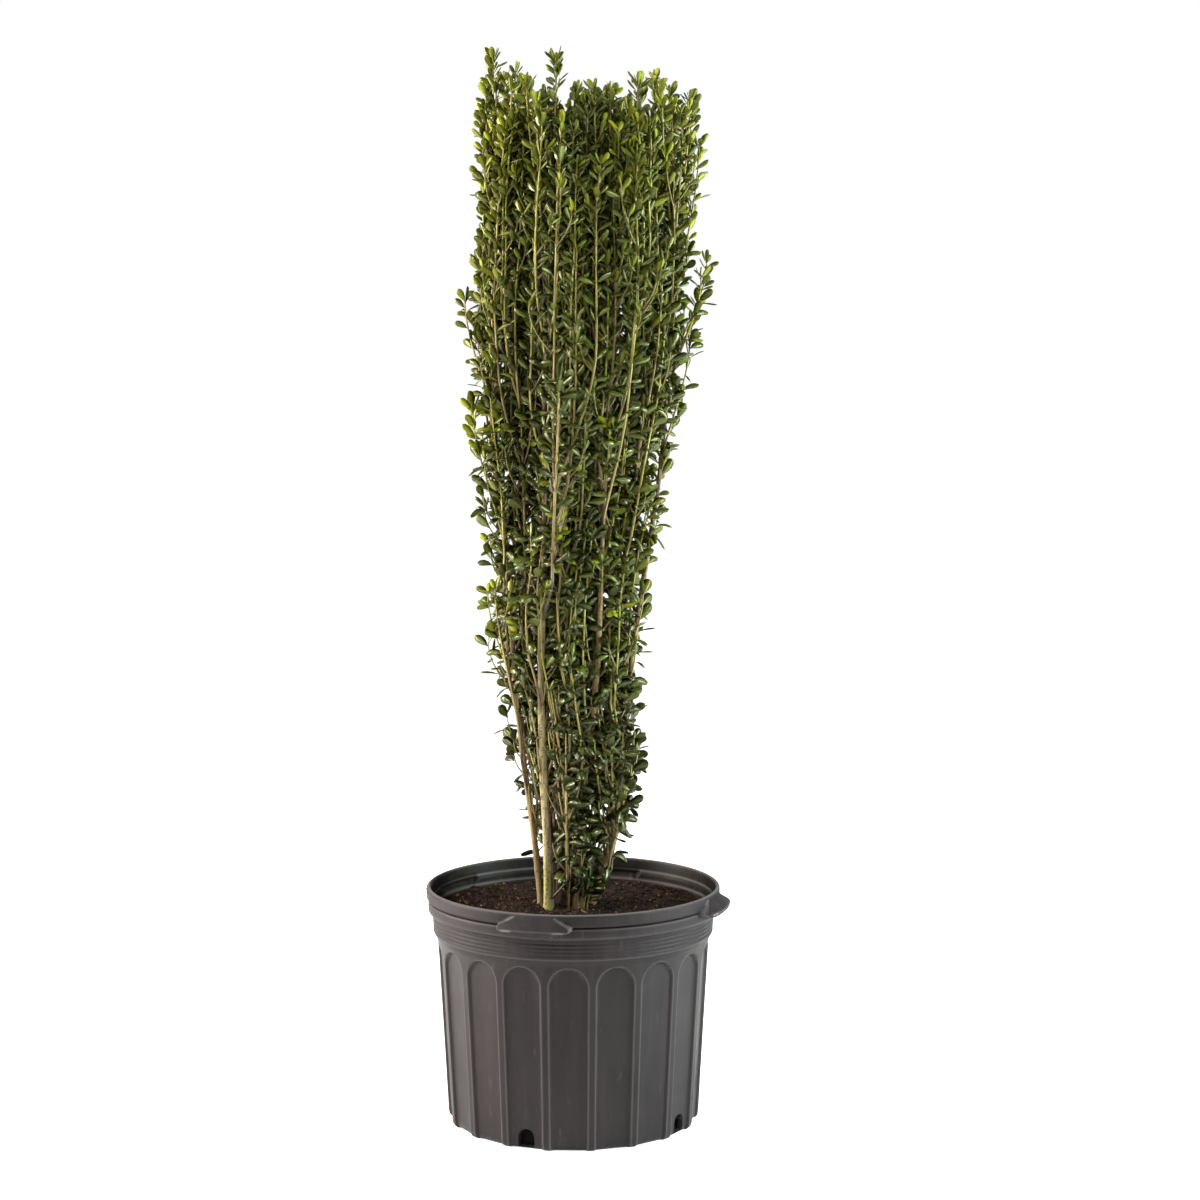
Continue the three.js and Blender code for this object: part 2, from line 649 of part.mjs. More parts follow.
// The leaves of one twig, in a spiral, spread wide at its foot and upright at its tip.
// A leaf that would leave its mass's space is turned aside or made smaller, or else left out.
function leavesOn(mass, curve, count, mainTwig, random, middles) {
  const cored = mainTwig && mass.core > 0;
  const leaves = [];
  const firstTurn = random() * Math.PI * 2;
  for (let i = 0; i <= count; i++) {
    const share = lerp(mainTwig ? LEAF_STARTS.main : LEAF_STARTS.side, 1, i / count);
    const tangent = curve.getTangentAt(share);
    const spread = (mainTwig && DROOPING[i]) || lerp(LEAF_ANGLES.foot, LEAF_ANGLES.tip, share);
    const angle = radians(i === count ? LEAF_ANGLES.last : spread);
    const fullLength = LEAF_LENGTH * mass.leafSize * lerp(VARIES.least, VARIES.most, random());
    for (const { turn, size } of LEAF_TRIES) {
      const around = firstTurn + i * GOLDEN_TURN + turn;
      const outward = levelAt(around);
      outward.addScaledVector(tangent, -outward.dot(tangent)).normalize();
      const along = tangent.clone().multiplyScalar(Math.cos(angle));
      along.addScaledVector(outward, Math.sin(angle));
      const across = new THREE.Vector3().crossVectors(outward, tangent).normalize();
      const inCore = cored && i < count ? CORE_SEAT * coreReach(mass, curve, share, around) : 0;
      const foot = curve.getPointAt(share);
      foot.addScaledVector(outward, inCore).addScaledVector(along, -LEAF_SINK);
      const leaf = leafShape(foot, along, across, fullLength * size);
      const middle = leaf.at(LEAF_MIDDLE, 0, 0);
      if (middles.some((other) => other.distanceTo(middle) < LEAF_ROOM * fullLength)) continue;
      if (!fits(mass, leafSamples(leaf), LIMB_GAP)) continue;
      leaves.push(leafSolid(leaf));
      middles.push(middle);
      break;
    }
  }
  return leaves;
}

// One mass: a main twig that carries on from its limb's tip, side twigs on it, and leaves on both
function foliage(mass, number) {
  const random = randomStream(SEED.first + number * SEED.step);
  const start = mass.start.clone().addScaledVector(UP, GAP);
  const length = start.distanceTo(mass.tip);
  const main = new THREE.CubicBezierCurve3(
    start,
    start.clone().addScaledVector(UP, length * TWIG_BEND),
    mass.tip.clone().addScaledVector(UP, -length * TWIG_BEND),
    mass.tip,
  );
  const mainRadius = (share) => lerp(mass.radius, TWIG_TIP_RADIUS, share);
  const solids = [solidOf(limbGeometry(main, mainRadius, TWIG_SIDES, TWIG_STEPS))];
  const middles = [];
  const leaves = leavesOn(mass, main, mass.leaves, true, random, middles);
  const firstTurn = random() * Math.PI * 2;
  for (let i = 0; i < SIDE_TWIGS; i++) {
    const share = lerp(SIDE_TWIG_PLACES.first, SIDE_TWIG_PLACES.last, i / (SIDE_TWIGS - 1));
    const foot = main.getPointAt(share);
    const outward = levelAt(firstTurn + i * GOLDEN_TURN);
    for (const size of SIDE_TWIG_SIZES) {
      const reach = SIDE_TWIG_LENGTH * size * lerp(VARIES.least, VARIES.most, random());
      const spread = reach * Math.sin(radians(SIDE_TWIG_ANGLE));
      const above = foot.clone().addScaledVector(outward, spread);
      const end = above.clone().addScaledVector(UP, reach * SIDE_TWIG_RISE.end);
      const bend = above.clone().addScaledVector(UP, reach * SIDE_TWIG_RISE.bend);
      const side = new THREE.QuadraticBezierCurve3(foot, bend, end);
      if (!fits(mass, side.getPoints(SIDE_TWIG_CHECKS), SIDE_TWIG_GAP)) continue;
      const thick = mainRadius(share) * SIDE_TWIG_TAPER.foot;
      const taper = (part) => lerp(thick, TWIG_TIP_RADIUS * SIDE_TWIG_TAPER.tip, part);
      solids.push(solidOf(limbGeometry(side, taper, TWIG_SIDES, SIDE_TWIG_STEPS)));
      leaves.push(...leavesOn(mass, side, SIDE_LEAVES, false, random, middles));
      break;
    }
  }
  if (mass.core > 0) solids.push(coreSolid(mass, main));
  return mainBody(wasm.Manifold.union([...solids, ...leaves]));
}

// Assembly
const plant = new THREE.Group();

function addPiece(name, solid, material) {
  const mesh = new THREE.Mesh(geometryOf(solid), material);
  mesh.name = name;
  plant.add(mesh);
}

addPiece("pot", pot(), MATERIALS.pot);
addPiece("soil", soil(), MATERIALS.soil);

for (const limb of limbs) {
  const solid = solidOf(limbGeometry(limb.curve, limb.radiusAt, limb.sides, limb.steps));
  if (limb.kind === "stem") {
    addPiece(limb.name, solid, MATERIALS.bark);
  } else {
    const { curve, radiusAt, sides, steps } = limb.carrier;
    const seat = solidOf(limbGeometry(curve, (share) => radiusAt(share) + GAP, sides, steps));
    addPiece(limb.name, mainBody(solid.subtract(seat)), MATERIALS.bough);
  }
}

masses.forEach((mass, number) => addPiece(mass.name, foliage(mass, number), MATERIALS.foliage));

export default plant;
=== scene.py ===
import math
import bpy
import numpy as np
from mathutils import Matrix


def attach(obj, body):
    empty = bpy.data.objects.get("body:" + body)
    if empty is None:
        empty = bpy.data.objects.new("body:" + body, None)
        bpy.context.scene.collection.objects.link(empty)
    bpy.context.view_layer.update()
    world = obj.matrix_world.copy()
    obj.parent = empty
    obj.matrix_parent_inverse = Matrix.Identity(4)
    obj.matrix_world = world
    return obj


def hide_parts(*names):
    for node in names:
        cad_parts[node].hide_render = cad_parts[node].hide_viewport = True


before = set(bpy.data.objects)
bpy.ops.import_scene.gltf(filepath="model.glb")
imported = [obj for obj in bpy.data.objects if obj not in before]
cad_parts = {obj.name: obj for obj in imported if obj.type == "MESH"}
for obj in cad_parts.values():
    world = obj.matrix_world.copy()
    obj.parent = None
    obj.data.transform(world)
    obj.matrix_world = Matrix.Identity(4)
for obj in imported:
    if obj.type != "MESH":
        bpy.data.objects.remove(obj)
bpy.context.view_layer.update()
scene = bpy.context.scene
rng = np.random.default_rng(20261127)
goldenTurn = math.pi * (3 - math.sqrt(5))
upward = np.array([0.0, 0.0, 1.0])


# Small helpers on arrays
def blend(start, end, share):
    return start + (end - start) * share


def smoothStep(low, high, value):  # 0 below low, 1 above high, an S between them
    share = np.clip((value - low) / (high - low), 0, 1)
    return share * share * (3 - 2 * share)


def unit(vectors):
    return vectors / np.maximum(np.linalg.norm(vectors, axis=-1, keepdims=True), 1e-12)


def gather(*parts):  # arrays or numbers side by side, along a new last axis
    return np.stack(np.broadcast_arrays(*parts), -1)


def bell(distance, width):  # 1 at no distance, falling off smoothly to both sides
    return np.exp(-((distance / width) ** 2))


def circle(count):  # evenly spaced turns of one round
    return np.linspace(0, 2 * np.pi, count, endpoint=False)


def chance(cells, seed):  # a number from 0 to 1 for each whole-number place
    factors = np.array([73856093, 19349663, 83492791])[: cells.shape[-1]]
    mixed = (cells * factors).sum(-1) + seed * 1013904223
    mixed = (mixed ^ (mixed >> 13)) * 1274126177
    return ((mixed ^ (mixed >> 16)) & 0xFFFF) / 65535.0


def lumps(places, seed):  # random heights at whole-number places, blended smoothly between them
    cell = np.floor(places).astype(np.int64)
    part = places - cell
    part = part * part * (3 - 2 * part)
    total = np.zeros(places.shape[:-1])
    for corner in np.ndindex(*(2,) * places.shape[-1]):
        weight = np.where(np.array(corner) == 1, part, 1 - part).prod(-1)
        total += weight * chance(cell + np.array(corner), seed)
    return total


def tone(red, green, blue):  # display values from 0 to 255 made linear, as shaders take them
    display = np.array([red, green, blue]) / 255
    linear = np.where(display < 0.04045, display / 12.92, ((display + 0.055) / 1.055) ** 2.4)
    return (*linear.tolist(), 1.0)


# Meshes from arrays
def addPiece(name, points, faceSets, looks, replaced=(), cornerMap=None, faceLook=None, crease=None,
             paintedHighlight=None):
    mesh = bpy.data.meshes.new(name)
    corners = np.concatenate([faces.reshape(-1) for faces in faceSets])
    sizes = np.concatenate([np.full(len(faces), faces.shape[1]) for faces in faceSets])
    mesh.vertices.add(len(points))
    mesh.vertices.foreach_set("co", points.astype(np.float32).ravel())
    mesh.loops.add(len(corners))
    mesh.loops.foreach_set("vertex_index", corners.astype(np.int32))
    mesh.polygons.add(len(sizes))
    mesh.polygons.foreach_set("loop_start", (np.cumsum(sizes) - sizes).astype(np.int32))
    if faceLook is not None:
        mesh.polygons.foreach_set("material_index", faceLook.astype(np.int32))
    mesh.update(calc_edges=True)
    mesh.shade_smooth()
    if crease is not None:
        mesh.set_sharp_from_angle(angle=math.radians(crease))
    if cornerMap is not None:
        layer = mesh.uv_layers.new(name="OFBake")
        layer.uv.foreach_set("vector", cornerMap.astype(np.float32).ravel())
    # painted highlights, a share per point
    if paintedHighlight is not None:
        mesh.attributes.new("paintedHighlight", "FLOAT", "POINT").data.foreach_set("value", paintedHighlight.astype(np.float32))
    for look in looks:
        mesh.materials.append(look)
    piece = bpy.data.objects.new(name, mesh)
    scene.collection.objects.link(piece)
    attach(piece, "root")
    if replaced:
        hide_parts(*replaced)
    print(name, int((sizes - 2).sum()), "triangles")


def ringFaces(rows, columns):  # quads between neighbouring closed rings, facing away from the axis
    row = np.arange(rows - 1)[:, None] * columns
    here = np.arange(columns)
    after = (here + 1) % columns
    above = row + columns
    return gather(row + here, row + after, above + after, above + here).reshape(-1, 4)


def capFaces(rows, columns):  # fans that close the first and last ring by the two points after all rings
    here = np.arange(columns)
    after = (here + 1) % columns
    last = (rows - 1) * columns
    middle = rows * columns
    return gather(middle, after, here), gather(last + here, last + after, middle + 1)


def copies(faces, count, step):  # the same faces for each of many blocks of points
    return (faces[None] + (np.arange(count) * step)[:, None, None]).reshape(-1, faces.shape[1])


def mapCopies(spots, count):  # the same corners' map for each block, one kind of face after the other
    return np.concatenate([np.tile(part.reshape(-1), count).reshape(-1, 2) for part in spots])


def tubes(paths, radii, sides, relief=0):
    # a ring of points round each row of each path, closed by a point at both ends:
    # row + radius * (cos of turn * side + sin of turn * front)
    # the map runs round a tube and from its foot to its tip
    count, rows = radii.shape
    along = unit(np.gradient(paths, axis=1))
    side = unit(np.array([1.0, 0, 0]) - along * along[..., :1])
    front = np.cross(along, side)
    turn = circle(sides)
    width = radii[..., None] + relief
    spoke = np.cos(turn)[:, None] * side[:, :, None] + np.sin(turn)[:, None] * front[:, :, None]
    rings = paths[:, :, None] + width[..., None] * spoke
    tipPoint = paths[:, -1] + along[:, -1] * radii[:, -1:]
    block = np.concatenate([rings.reshape(count, -1, 3), paths[:, :1], tipPoint[:, None]], axis=1)
    quads = copies(ringFaces(rows, sides), count, block.shape[1])
    caps = copies(np.concatenate(capFaces(rows, sides)), count, block.shape[1])
    level = np.arange(rows - 1)[:, None] / (rows - 1)
    above = level + 1 / (rows - 1)
    left = np.arange(sides) / sides
    right = (np.arange(sides) + 1) / sides
    middle = (np.arange(sides) + 0.5) / sides
    quadMap = gather(left, level, right, level, right, above, left, above)
    capMap = np.concatenate([gather(middle, 0, right, 0, left, 0), gather(left, 1, right, 1, middle, 1)])
    return block.reshape(-1, 3), [quads, caps], mapCopies((quadMap, capMap), count)


# Shader maths: a Wire is a socket that can stand in a sum, a Board is one material's nodes
class Wire:
    def __init__(self, board, socket):
        self.board = board
        self.socket = socket

    def maths(self, operation, *values):
        return self.board.node("ShaderNodeMath", {"operation": operation}, dict(enumerate(values)))

    def __add__(self, other):
        return self.maths("ADD", self, other)

    __radd__ = __add__

    def __sub__(self, other):
        return self.maths("SUBTRACT", self, other)

    def __rsub__(self, other):
        return self.maths("SUBTRACT", other, self)

    def __mul__(self, other):
        return self.maths("MULTIPLY", self, other)

    __rmul__ = __mul__

    def __truediv__(self, other):
        return self.maths("DIVIDE", self, other)

    def __gt__(self, other):
        return self.maths("GREATER_THAN", self, other)

    def __abs__(self):
        return self.maths("ABSOLUTE", self)

    def wave(self):
        return self.maths("SINE", self)

    def between(self, low, high):  # 0 at low, 1 at high, an S between them
        spread = {"From Min": low, "From Max": high, "Value": self}
        return self.board.node("ShaderNodeMapRange", {"interpolation_type": "SMOOTHSTEP"}, spread)


class Board:
    def __init__(self, name):
        self.material = bpy.data.materials.new(name)
        self.material.use_nodes = True
        self.tree = self.material.node_tree
        self.shader = self.tree.nodes["Principled BSDF"]

    def feed(self, socket, value):
        if isinstance(value, Wire):
            self.tree.links.new(value.socket, socket)
        else:
            socket.default_value = value

    def node(self, kind, settings=None, sockets=None, out=0):
        made = self.tree.nodes.new(kind)
        for key, value in (settings or {}).items():
            setattr(made, key, value)
        for key, value in (sockets or {}).items():
            self.feed(made.inputs[key], value)
        return Wire(self, made.outputs[out])

    def place(self, stretch=(1, 1, 1)):  # the piece's own coordinates in metres, stretched
        spot = self.node("ShaderNodeTexCoord", out="Object")
        return self.node("ShaderNodeMapping", None, {"Vector": spot, "Scale": stretch})

    def grain(self, place, scale, detail=2.0):
        return self.node("ShaderNodeTexNoise", None, {"Vector": place, "Scale": scale, "Detail": detail})

    def drawn(self, stretch, detail):  # grain squeezed along each axis by its own factor
        return self.grain(self.place(stretch), 1.0, detail)

    def height(self, place):
        return self.node("ShaderNodeSeparateXYZ", None, {0: place}, out=2)

    def cells(self, place, scale):  # distance from the nearest of many scattered points
        return self.node("ShaderNodeTexVoronoi", None, {"Vector": place, "Scale": scale})

    def mix(self, share, first, second):
        return self.node("ShaderNodeMix", {"data_type": "RGBA"}, {0: share, 6: first, 7: second}, out=2)

    def mapParts(self):  # the two numbers of the piece's own map
        spot = self.node("ShaderNodeUVMap", {"uv_map": "OFBake"})
        parts = self.node("ShaderNodeSeparateXYZ", None, {0: spot})
        return parts, Wire(self, parts.socket.node.outputs[1])

    def paintedHighlightShare(self):  # painted highlight: how much lighter a place is drawn, kept with the points
        return self.node("ShaderNodeAttribute", {"attribute_name": "paintedHighlight"}, out="Fac")

    def relief(self, height, distance, strength=1.0):
        sockets = {"Height": height, "Distance": distance, "Strength": strength}
        return self.node("ShaderNodeBump", None, sockets)

    def finish(self, sockets):
        for key, value in sockets.items():
            self.feed(self.shader.inputs[key], value)
        return self.material


# Camera at the photograph's place
cameraSet = {"place": (0.0323, -3.496, 1.0255), "dip": 6.44, "focalPixels": 2952, "imagePixels": 1200}


def addCamera():
    lens = bpy.data.cameras.new("camera")
    lens.sensor_width = 36
    lens.lens = 36 * cameraSet["focalPixels"] / cameraSet["imagePixels"]
    camera = bpy.data.objects.new("camera", lens)
    camera.location = cameraSet["place"]
    camera.rotation_euler = (math.radians(90 - cameraSet["dip"]), 0, 0)
    scene.collection.objects.link(camera)
    scene.camera = camera


# Pot: one closed skin of rings, from the middle of the underside over the lip to the inside's floor
pot = {
    "panels": 18, "panelTurn": -1.5, "panelHalf": 8.4,  # degrees from the front, to +X
    "archTop": 0.2212, "recess": 0.0031, "edge": 0.0027,
    "baseRadius": 0.151, "wallTop": 0.2235, "wallTopRadius": 0.1635, "corner": 0.006,
    "drainPanels": (3, 8, 12, 17), "drainHalf": 0.0096, "drainTop": 0.0235, "drainSill": 0.0042,
    "drainDepth": 0.009,
    "bandRings": (0.2368, 0.2415, 0.2462, 0.2509), "ringDepth": 0.0007, "ringWidth": 0.0010,
    "lugTurns": (-14.5, 72.5, 165.0, 240.0), "lugFacet": 0.0045, "lugWall": 0.0170, "lugRidge": 0.2684,
    # the lug's skin by height: radius, and half its length along the rim
    "lugHeights": (0.2612, 0.2625, 0.2640, 0.2654, 0.2668, 0.2690, 0.2715, 0.2740, 0.2776, 0.2810, 0.2842),
    "lugRadii": (0.1750, 0.1852, 0.1876, 0.1890, 0.1897, 0.1896, 0.1880, 0.1858, 0.1826, 0.1794, 0.1764),
    "lugHalves": (0.0140, 0.0210, 0.0285, 0.0340, 0.0382, 0.0412, 0.0418, 0.0390, 0.0310, 0.0255, 0.0215),
    # painted highlights: lighter lines along the panels' edges, on the lugs' flanks and ridge ends, and on
    # rings of the rim and the lining
    "lugRing": 0.178, "edgeHighlight": 0.29, "edgeHighlightWidth": 0.0008, "flankHighlight": 0.5, "ringHighlightWidth": 0.0009,
    "highlightRings": (
        (0.2319, "plain", 0.20), (0.2588, "rim", 0.3), (0.2688, "rim", 0.24), (0.2866, "rim", 0.66),
        (0.2724, "inside", 0.6), (0.2612, "inside", 0.6),
    ),
    "profiles": {  # radius and height of rings, in tenths of a millimetre
        "foot": ((500, 0), (1000, 0), (1340, 0), (1410, 0)),
        "chamfer": ((1643, 2256), (1656, 2278), (1670, 2300), (1680, 2320)),
        "bead": (
            (1700, 2556), (1718, 2562), (1736, 2570), (1743, 2582), (1745, 2600), (1746, 2625),
            (1746, 2640), (1746, 2654), (1746, 2668), (1745, 2680), (1742, 2690), (1734, 2698),
            (1718, 2703), (1713, 2710), (1720, 2717), (1748, 2721), (1760, 2729),
        ),
        "lip": (
            (1764, 2740), (1765, 2750), (1765, 2758), (1765, 2766), (1765, 2772), (1765, 2778),
            (1766, 2790), (1766, 2810), (1766, 2828), (1766, 2840), (1763, 2850), (1755, 2859),
            (1744, 2866), (1733, 2869), (1724, 2867), (1717, 2860),
        ),
        "inside": (
            (1708, 2840), (1703, 2810), (1698, 2780), (1694, 2750), (1690, 2725), (1678, 2708),
            (1670, 2696), (1668, 2670), (1666, 2640), (1664, 2610), (1656, 2594), (1651, 2570),
            (1648, 2500), (1580, 2230), (1360, 600), (1320, 45), (1000, 40), (500, 40),
        ),
    },
    # columns of half a panel in degrees, closer together at the drain's and the panel's edges
    "columns": (0.9, 1.8, 2.6, 3.2, 3.6, 4.0, 4.8, 5.8, 6.8, 7.2, 7.5, 7.8, 8.1, 8.4, 8.65, 9.2),
}


def potRows():  # radius and height of each ring, and which part of the pot it belongs to
    arc = np.linspace(0, np.pi / 2, 5)
    inner = pot["baseRadius"] - pot["corner"]
    bend = gather(inner + pot["corner"] * np.sin(arc), pot["corner"] * (1 - np.cos(arc)))
    heights = np.concatenate([  # closer together by the drain holes and the arches
        np.linspace(0.0074, 0.0274, 17),
        np.linspace(0.036, 0.184, 8),
        np.linspace(0.190, pot["wallTop"], 28),
    ])
    share = heights / pot["wallTop"]
    wall = gather(blend(pot["baseRadius"], pot["wallTopRadius"], share), heights)
    bandZ = np.linspace(0.2334, 0.2550, 32)
    grooves = sum(bell(bandZ - ring, pot["ringWidth"]) for ring in pot["bandRings"])
    band = gather(np.linspace(0.1684, 0.1695, 32) - pot["ringDepth"] * grooves, bandZ)
    foot, chamfer, bead, lip, inside = (np.array(part) / 10000 for part in pot["profiles"].values())
    parts = [foot, bend, wall, chamfer, band, bead, lip, inside]
    kinds = ["foot", "sunk", "sunk", "plain", "plain", "rim", "rim", "inside"]
    kind = np.concatenate([np.full(len(part), name) for part, name in zip(parts, kinds)])
    return np.concatenate(parts), kind


def wrapped(degrees, period):  # the angle from the nearest of evenly spaced places
    return (degrees + period / 2) % period - period / 2


def panelInward(turn, height, radius):  # distance inwards from a panel's arched outline
    away = wrapped(turn - pot["panelTurn"], 360 / pot["panels"])
    half = radius * math.radians(pot["panelHalf"])
    above = np.maximum(height - (pot["archTop"] - half), 0)
    return half - np.hypot(radius * np.radians(away), above)


def panelSink(turn, height, radius):
    # flat faces under the round wall, within an arched outline: the recess plus
    # radius * (1 - cos of half / cos of the angle), times a soft edge by the distance to the outline
    away = wrapped(turn - pot["panelTurn"], 360 / pot["panels"])
    inward = panelInward(turn, height, radius)
    flat = radius * (1 - math.cos(math.radians(pot["panelHalf"])) / np.cos(np.radians(away)))
    return smoothStep(0, pot["edge"], inward) * (pot["recess"] + np.maximum(flat, 0))


def drainShare(turn, height, radius):  # 1 inside a drain hole's round-topped outline
    share = np.zeros(np.broadcast(turn, height).shape)
    for panel in pot["drainPanels"]:
        away = wrapped(turn - pot["panelTurn"] - panel * 360 / pot["panels"], 360)
        above = np.maximum(height - (pot["drainTop"] - pot["drainHalf"]), 0)
        inward = pot["drainHalf"] - np.hypot(radius * np.radians(away), above)
        share = np.maximum(share, smoothStep(-0.0005, 0.0005, inward))
    return share * smoothStep(pot["drainSill"] - 0.001, pot["drainSill"], height)


def lugSwell(turn, height, radius, wall):  # how far a grip lug stands out of the rim, and the painted highlights on its flanks and ridge ends
    out = np.interp(height, pot["lugHeights"], pot["lugRadii"], left=0, right=0) - wall
    half = np.interp(height, pot["lugHeights"], pot["lugHalves"])
    swell = np.zeros(np.broadcast(turn, height).shape)
    flankShine = np.zeros(swell.shape)
    for lugTurn in pot["lugTurns"]:
        along = np.abs(pot["lugRing"] * np.radians(wrapped(turn - lugTurn, 360)))
        share = np.clip((half + pot["lugFacet"] - along) / pot["lugFacet"], 0, 1)
        swell = np.maximum(swell, share * np.maximum(out - radius, 0))
        flankShine = np.maximum(flankShine, 4 * share * (1 - share) * (out > radius))
        # painted highlight: a glint near both ends of the lug's ridge
        glint = smoothStep(0.020, 0.026, along) * smoothStep(0.038, 0.033, along)
        ridge = bell(height - pot["lugRidge"], pot["ringHighlightWidth"])
        flankShine = np.maximum(flankShine, 2 * glint * ridge)
    return swell, flankShine


def addPot():
    rows, kind = potRows()
    halfPanel = np.array(pot["columns"])
    offsets = np.concatenate([-halfPanel[::-1], [0], halfPanel, [10]])
    starts = pot["panelTurn"] + np.arange(pot["panels"]) * 360 / pot["panels"]
    turn = (starts[:, None] + offsets).reshape(1, -1)
    radius = rows[:, :1]
    height = rows[:, 1:]
    sunk = (kind == "sunk")[:, None]
    drain = drainShare(turn, height, radius) * sunk
    sink = panelSink(turn, height, radius) * sunk + drain * pot["drainDepth"]
    swell, flankShine = lugSwell(turn, height, radius, 0)
    swell = np.where((kind == "inside")[:, None], lugSwell(turn, height, radius, pot["lugWall"])[0], swell)
    swell = swell * np.isin(kind, ("rim", "inside"))[:, None]
    reach = radius - sink + swell
    # painted highlights as a share per point: panel edges, lug flanks and ridge ends, and rings of the rim
    # and the lining
    paintedShine = pot["edgeHighlight"] * bell(panelInward(turn, height, radius), pot["edgeHighlightWidth"]) * sunk
    paintedShine = np.maximum(paintedShine, pot["flankHighlight"] * flankShine * (kind == "rim")[:, None])
    for ring, where, weight in pot["highlightRings"]:
        close = bell(height - ring, pot["ringHighlightWidth"])
        paintedShine = np.maximum(paintedShine, weight * close * (kind == where)[:, None])
    angle = np.radians(turn)
    rings = gather(reach * np.sin(angle), -reach * np.cos(angle), height)
    count, columns = reach.shape
    points = np.concatenate([rings.reshape(-1, 3), [[0, 0, 0], [0, 0, rows[-1, 1]]]])
    under, floor = capFaces(count, columns)
    quads = ringFaces(count, columns)
    # painted shade: faces deep in a drain pocket take the near-black drain material
    dark = drain.reshape(-1)[quads].mean(1) > 0.55
    lining = np.repeat(kind[1:] == "inside", columns)
    faceLook = np.concatenate([np.where(lining, 2, dark), np.zeros(columns, int), np.full(columns, 2)])
    looks = [plasticLook(), drainShadeLook(), liningLook()]
    paintedHighlight = np.concatenate([paintedShine.reshape(-1), [0, 0]])
    addPiece("pot_shell", points, [quads, under, floor], looks, ("pot",),
             faceLook=faceLook, crease=48, paintedHighlight=paintedHighlight)


def plasticLook():  # charcoal plastic with a fine moulded grain, faint drawn streaks and scuffs, and painted highlights along edges and rings
    board = Board("pot_plastic")
    place = board.place()
    cloud = board.grain(place, 16, 3).between(0.35, 0.68)
    streak = board.drawn((70, 70, 5), 3).between(0.4, 0.75)
    scuff = board.drawn((140, 140, 30), 4).between(0.62, 0.78)
    dust = board.grain(place, 420, 2).between(0.60, 0.82)
    base = board.mix(cloud, tone(22, 16, 17), tone(28, 22, 23))
    base = board.mix(streak * 0.35, base, tone(45, 38, 37))
    base = board.mix(scuff * 0.18 + dust * 0.12, base, tone(84, 79, 75))
    # painted highlights: lighter along panel edges, lug flanks and rim rings
    base = board.mix(board.paintedHighlightShare() * 0.7, base, tone(122, 117, 114))
    fine = board.grain(place, 1500, 2)
    height = board.height(place)
    band = height.between(0.222, 0.229)
    return board.finish({
        "Base Color": base,
        "Roughness": 0.40 + 0.08 * cloud + 0.07 * streak + 0.06 * scuff + 0.12 * band,
        "Normal": board.relief(fine + 0.6 * streak, 0.00025, 0.5),
        "Specular IOR Level": 0.18,
    })


def liningLook():  # the smooth, shinier inside of the wall, with splashes of dried mud and painted highlights along its steps
    board = Board("pot_lining")
    place = board.place()
    mud = board.grain(place, 60, 4).between(0.52, 0.72)
    run = board.drawn((90, 90, 12), 3).between(0.35, 0.7)
    base = board.mix(run, tone(20, 18, 17), tone(29, 26, 24))
    base = board.mix(mud * 0.35, base, tone(58, 48, 38))
    return board.finish({
        # painted highlights: lighter along the lining's steps
        "Base Color": board.mix(board.paintedHighlightShare() * 0.6, base, tone(120, 113, 98)),
        "Roughness": 0.44 + 0.06 * run + 0.30 * mud,
        "Normal": board.relief(mud, 0.0003, 0.3),
        "Specular IOR Level": 0.06,
    })


def drainShadeLook():  # painted shade: the potting mix behind a drain hole, near-black and darker than the soil bed, as the hole's shade
    board = Board("drain_painted_shade")
    crumbs = board.grain(board.place(), 500, 3)
    return board.finish({
        "Base Color": board.mix(crumbs, tone(6, 5, 5), tone(20, 16, 13)),
        "Roughness": 0.9,
        "Normal": board.relief(crumbs, 0.001),
        "Specular IOR Level": 0.05,
    })


# Soil: a disc of rings with crumbs in its height, and loose bits of bark and peat lying on it
soil = {
    "level": 0.2615, "edgeDrop": 0.0035, "radius": 0.1668, "rings": 74, "columns": 330, "thick": 0.012,
    "chips": ((2300, (24, 16, 11), 0.0016), (1900, (46, 30, 20), 0.0017), (900, (74, 50, 32), 0.0015),
              (260, (116, 88, 56), 0.0014)),
    "sprinkle": 0.160,
}


def soilHeight(x, y):  # level, lower towards the rim, plus three sizes of lumps
    away = np.hypot(x, y)
    spot = gather(x, y)
    lump = 0.0042 * (lumps(spot * 55, 3) - 0.5) + 0.0030 * (lumps(spot * 150, 5) - 0.5)
    crumb = 0.0026 * (lumps(spot * 340, 7) - 0.4)
    return soil["level"] - soil["edgeDrop"] * smoothStep(0.08, 0.165, away) + lump + crumb


def addSoil():
    share = np.linspace(0, 1, soil["rings"] + 1)[1:, None]
    turn = circle(soil["columns"])
    away = soil["radius"] * share
    x = away * np.cos(turn)
    y = away * np.sin(turn)
    top = gather(x, y, soilHeight(x, y))[::-1]
    rim = gather(x[-1], y[-1], soil["level"] - soil["thick"])
    rings = np.concatenate([rim[None], top])
    middle = np.array([[0, 0, soil["level"] - soil["thick"]], [0, 0, soil["level"]]])
    points = np.concatenate([rings.reshape(-1, 3), middle])
    count, columns = rings.shape[:2]
    faceSets = [ringFaces(count, columns), *capFaces(count, columns)]
    addPiece("soil_bed", points, faceSets, [soilLook()], ("soil",))
    for number, (amount, colour, size) in enumerate(soil["chips"]):
        addChips(number, amount, colour, size)


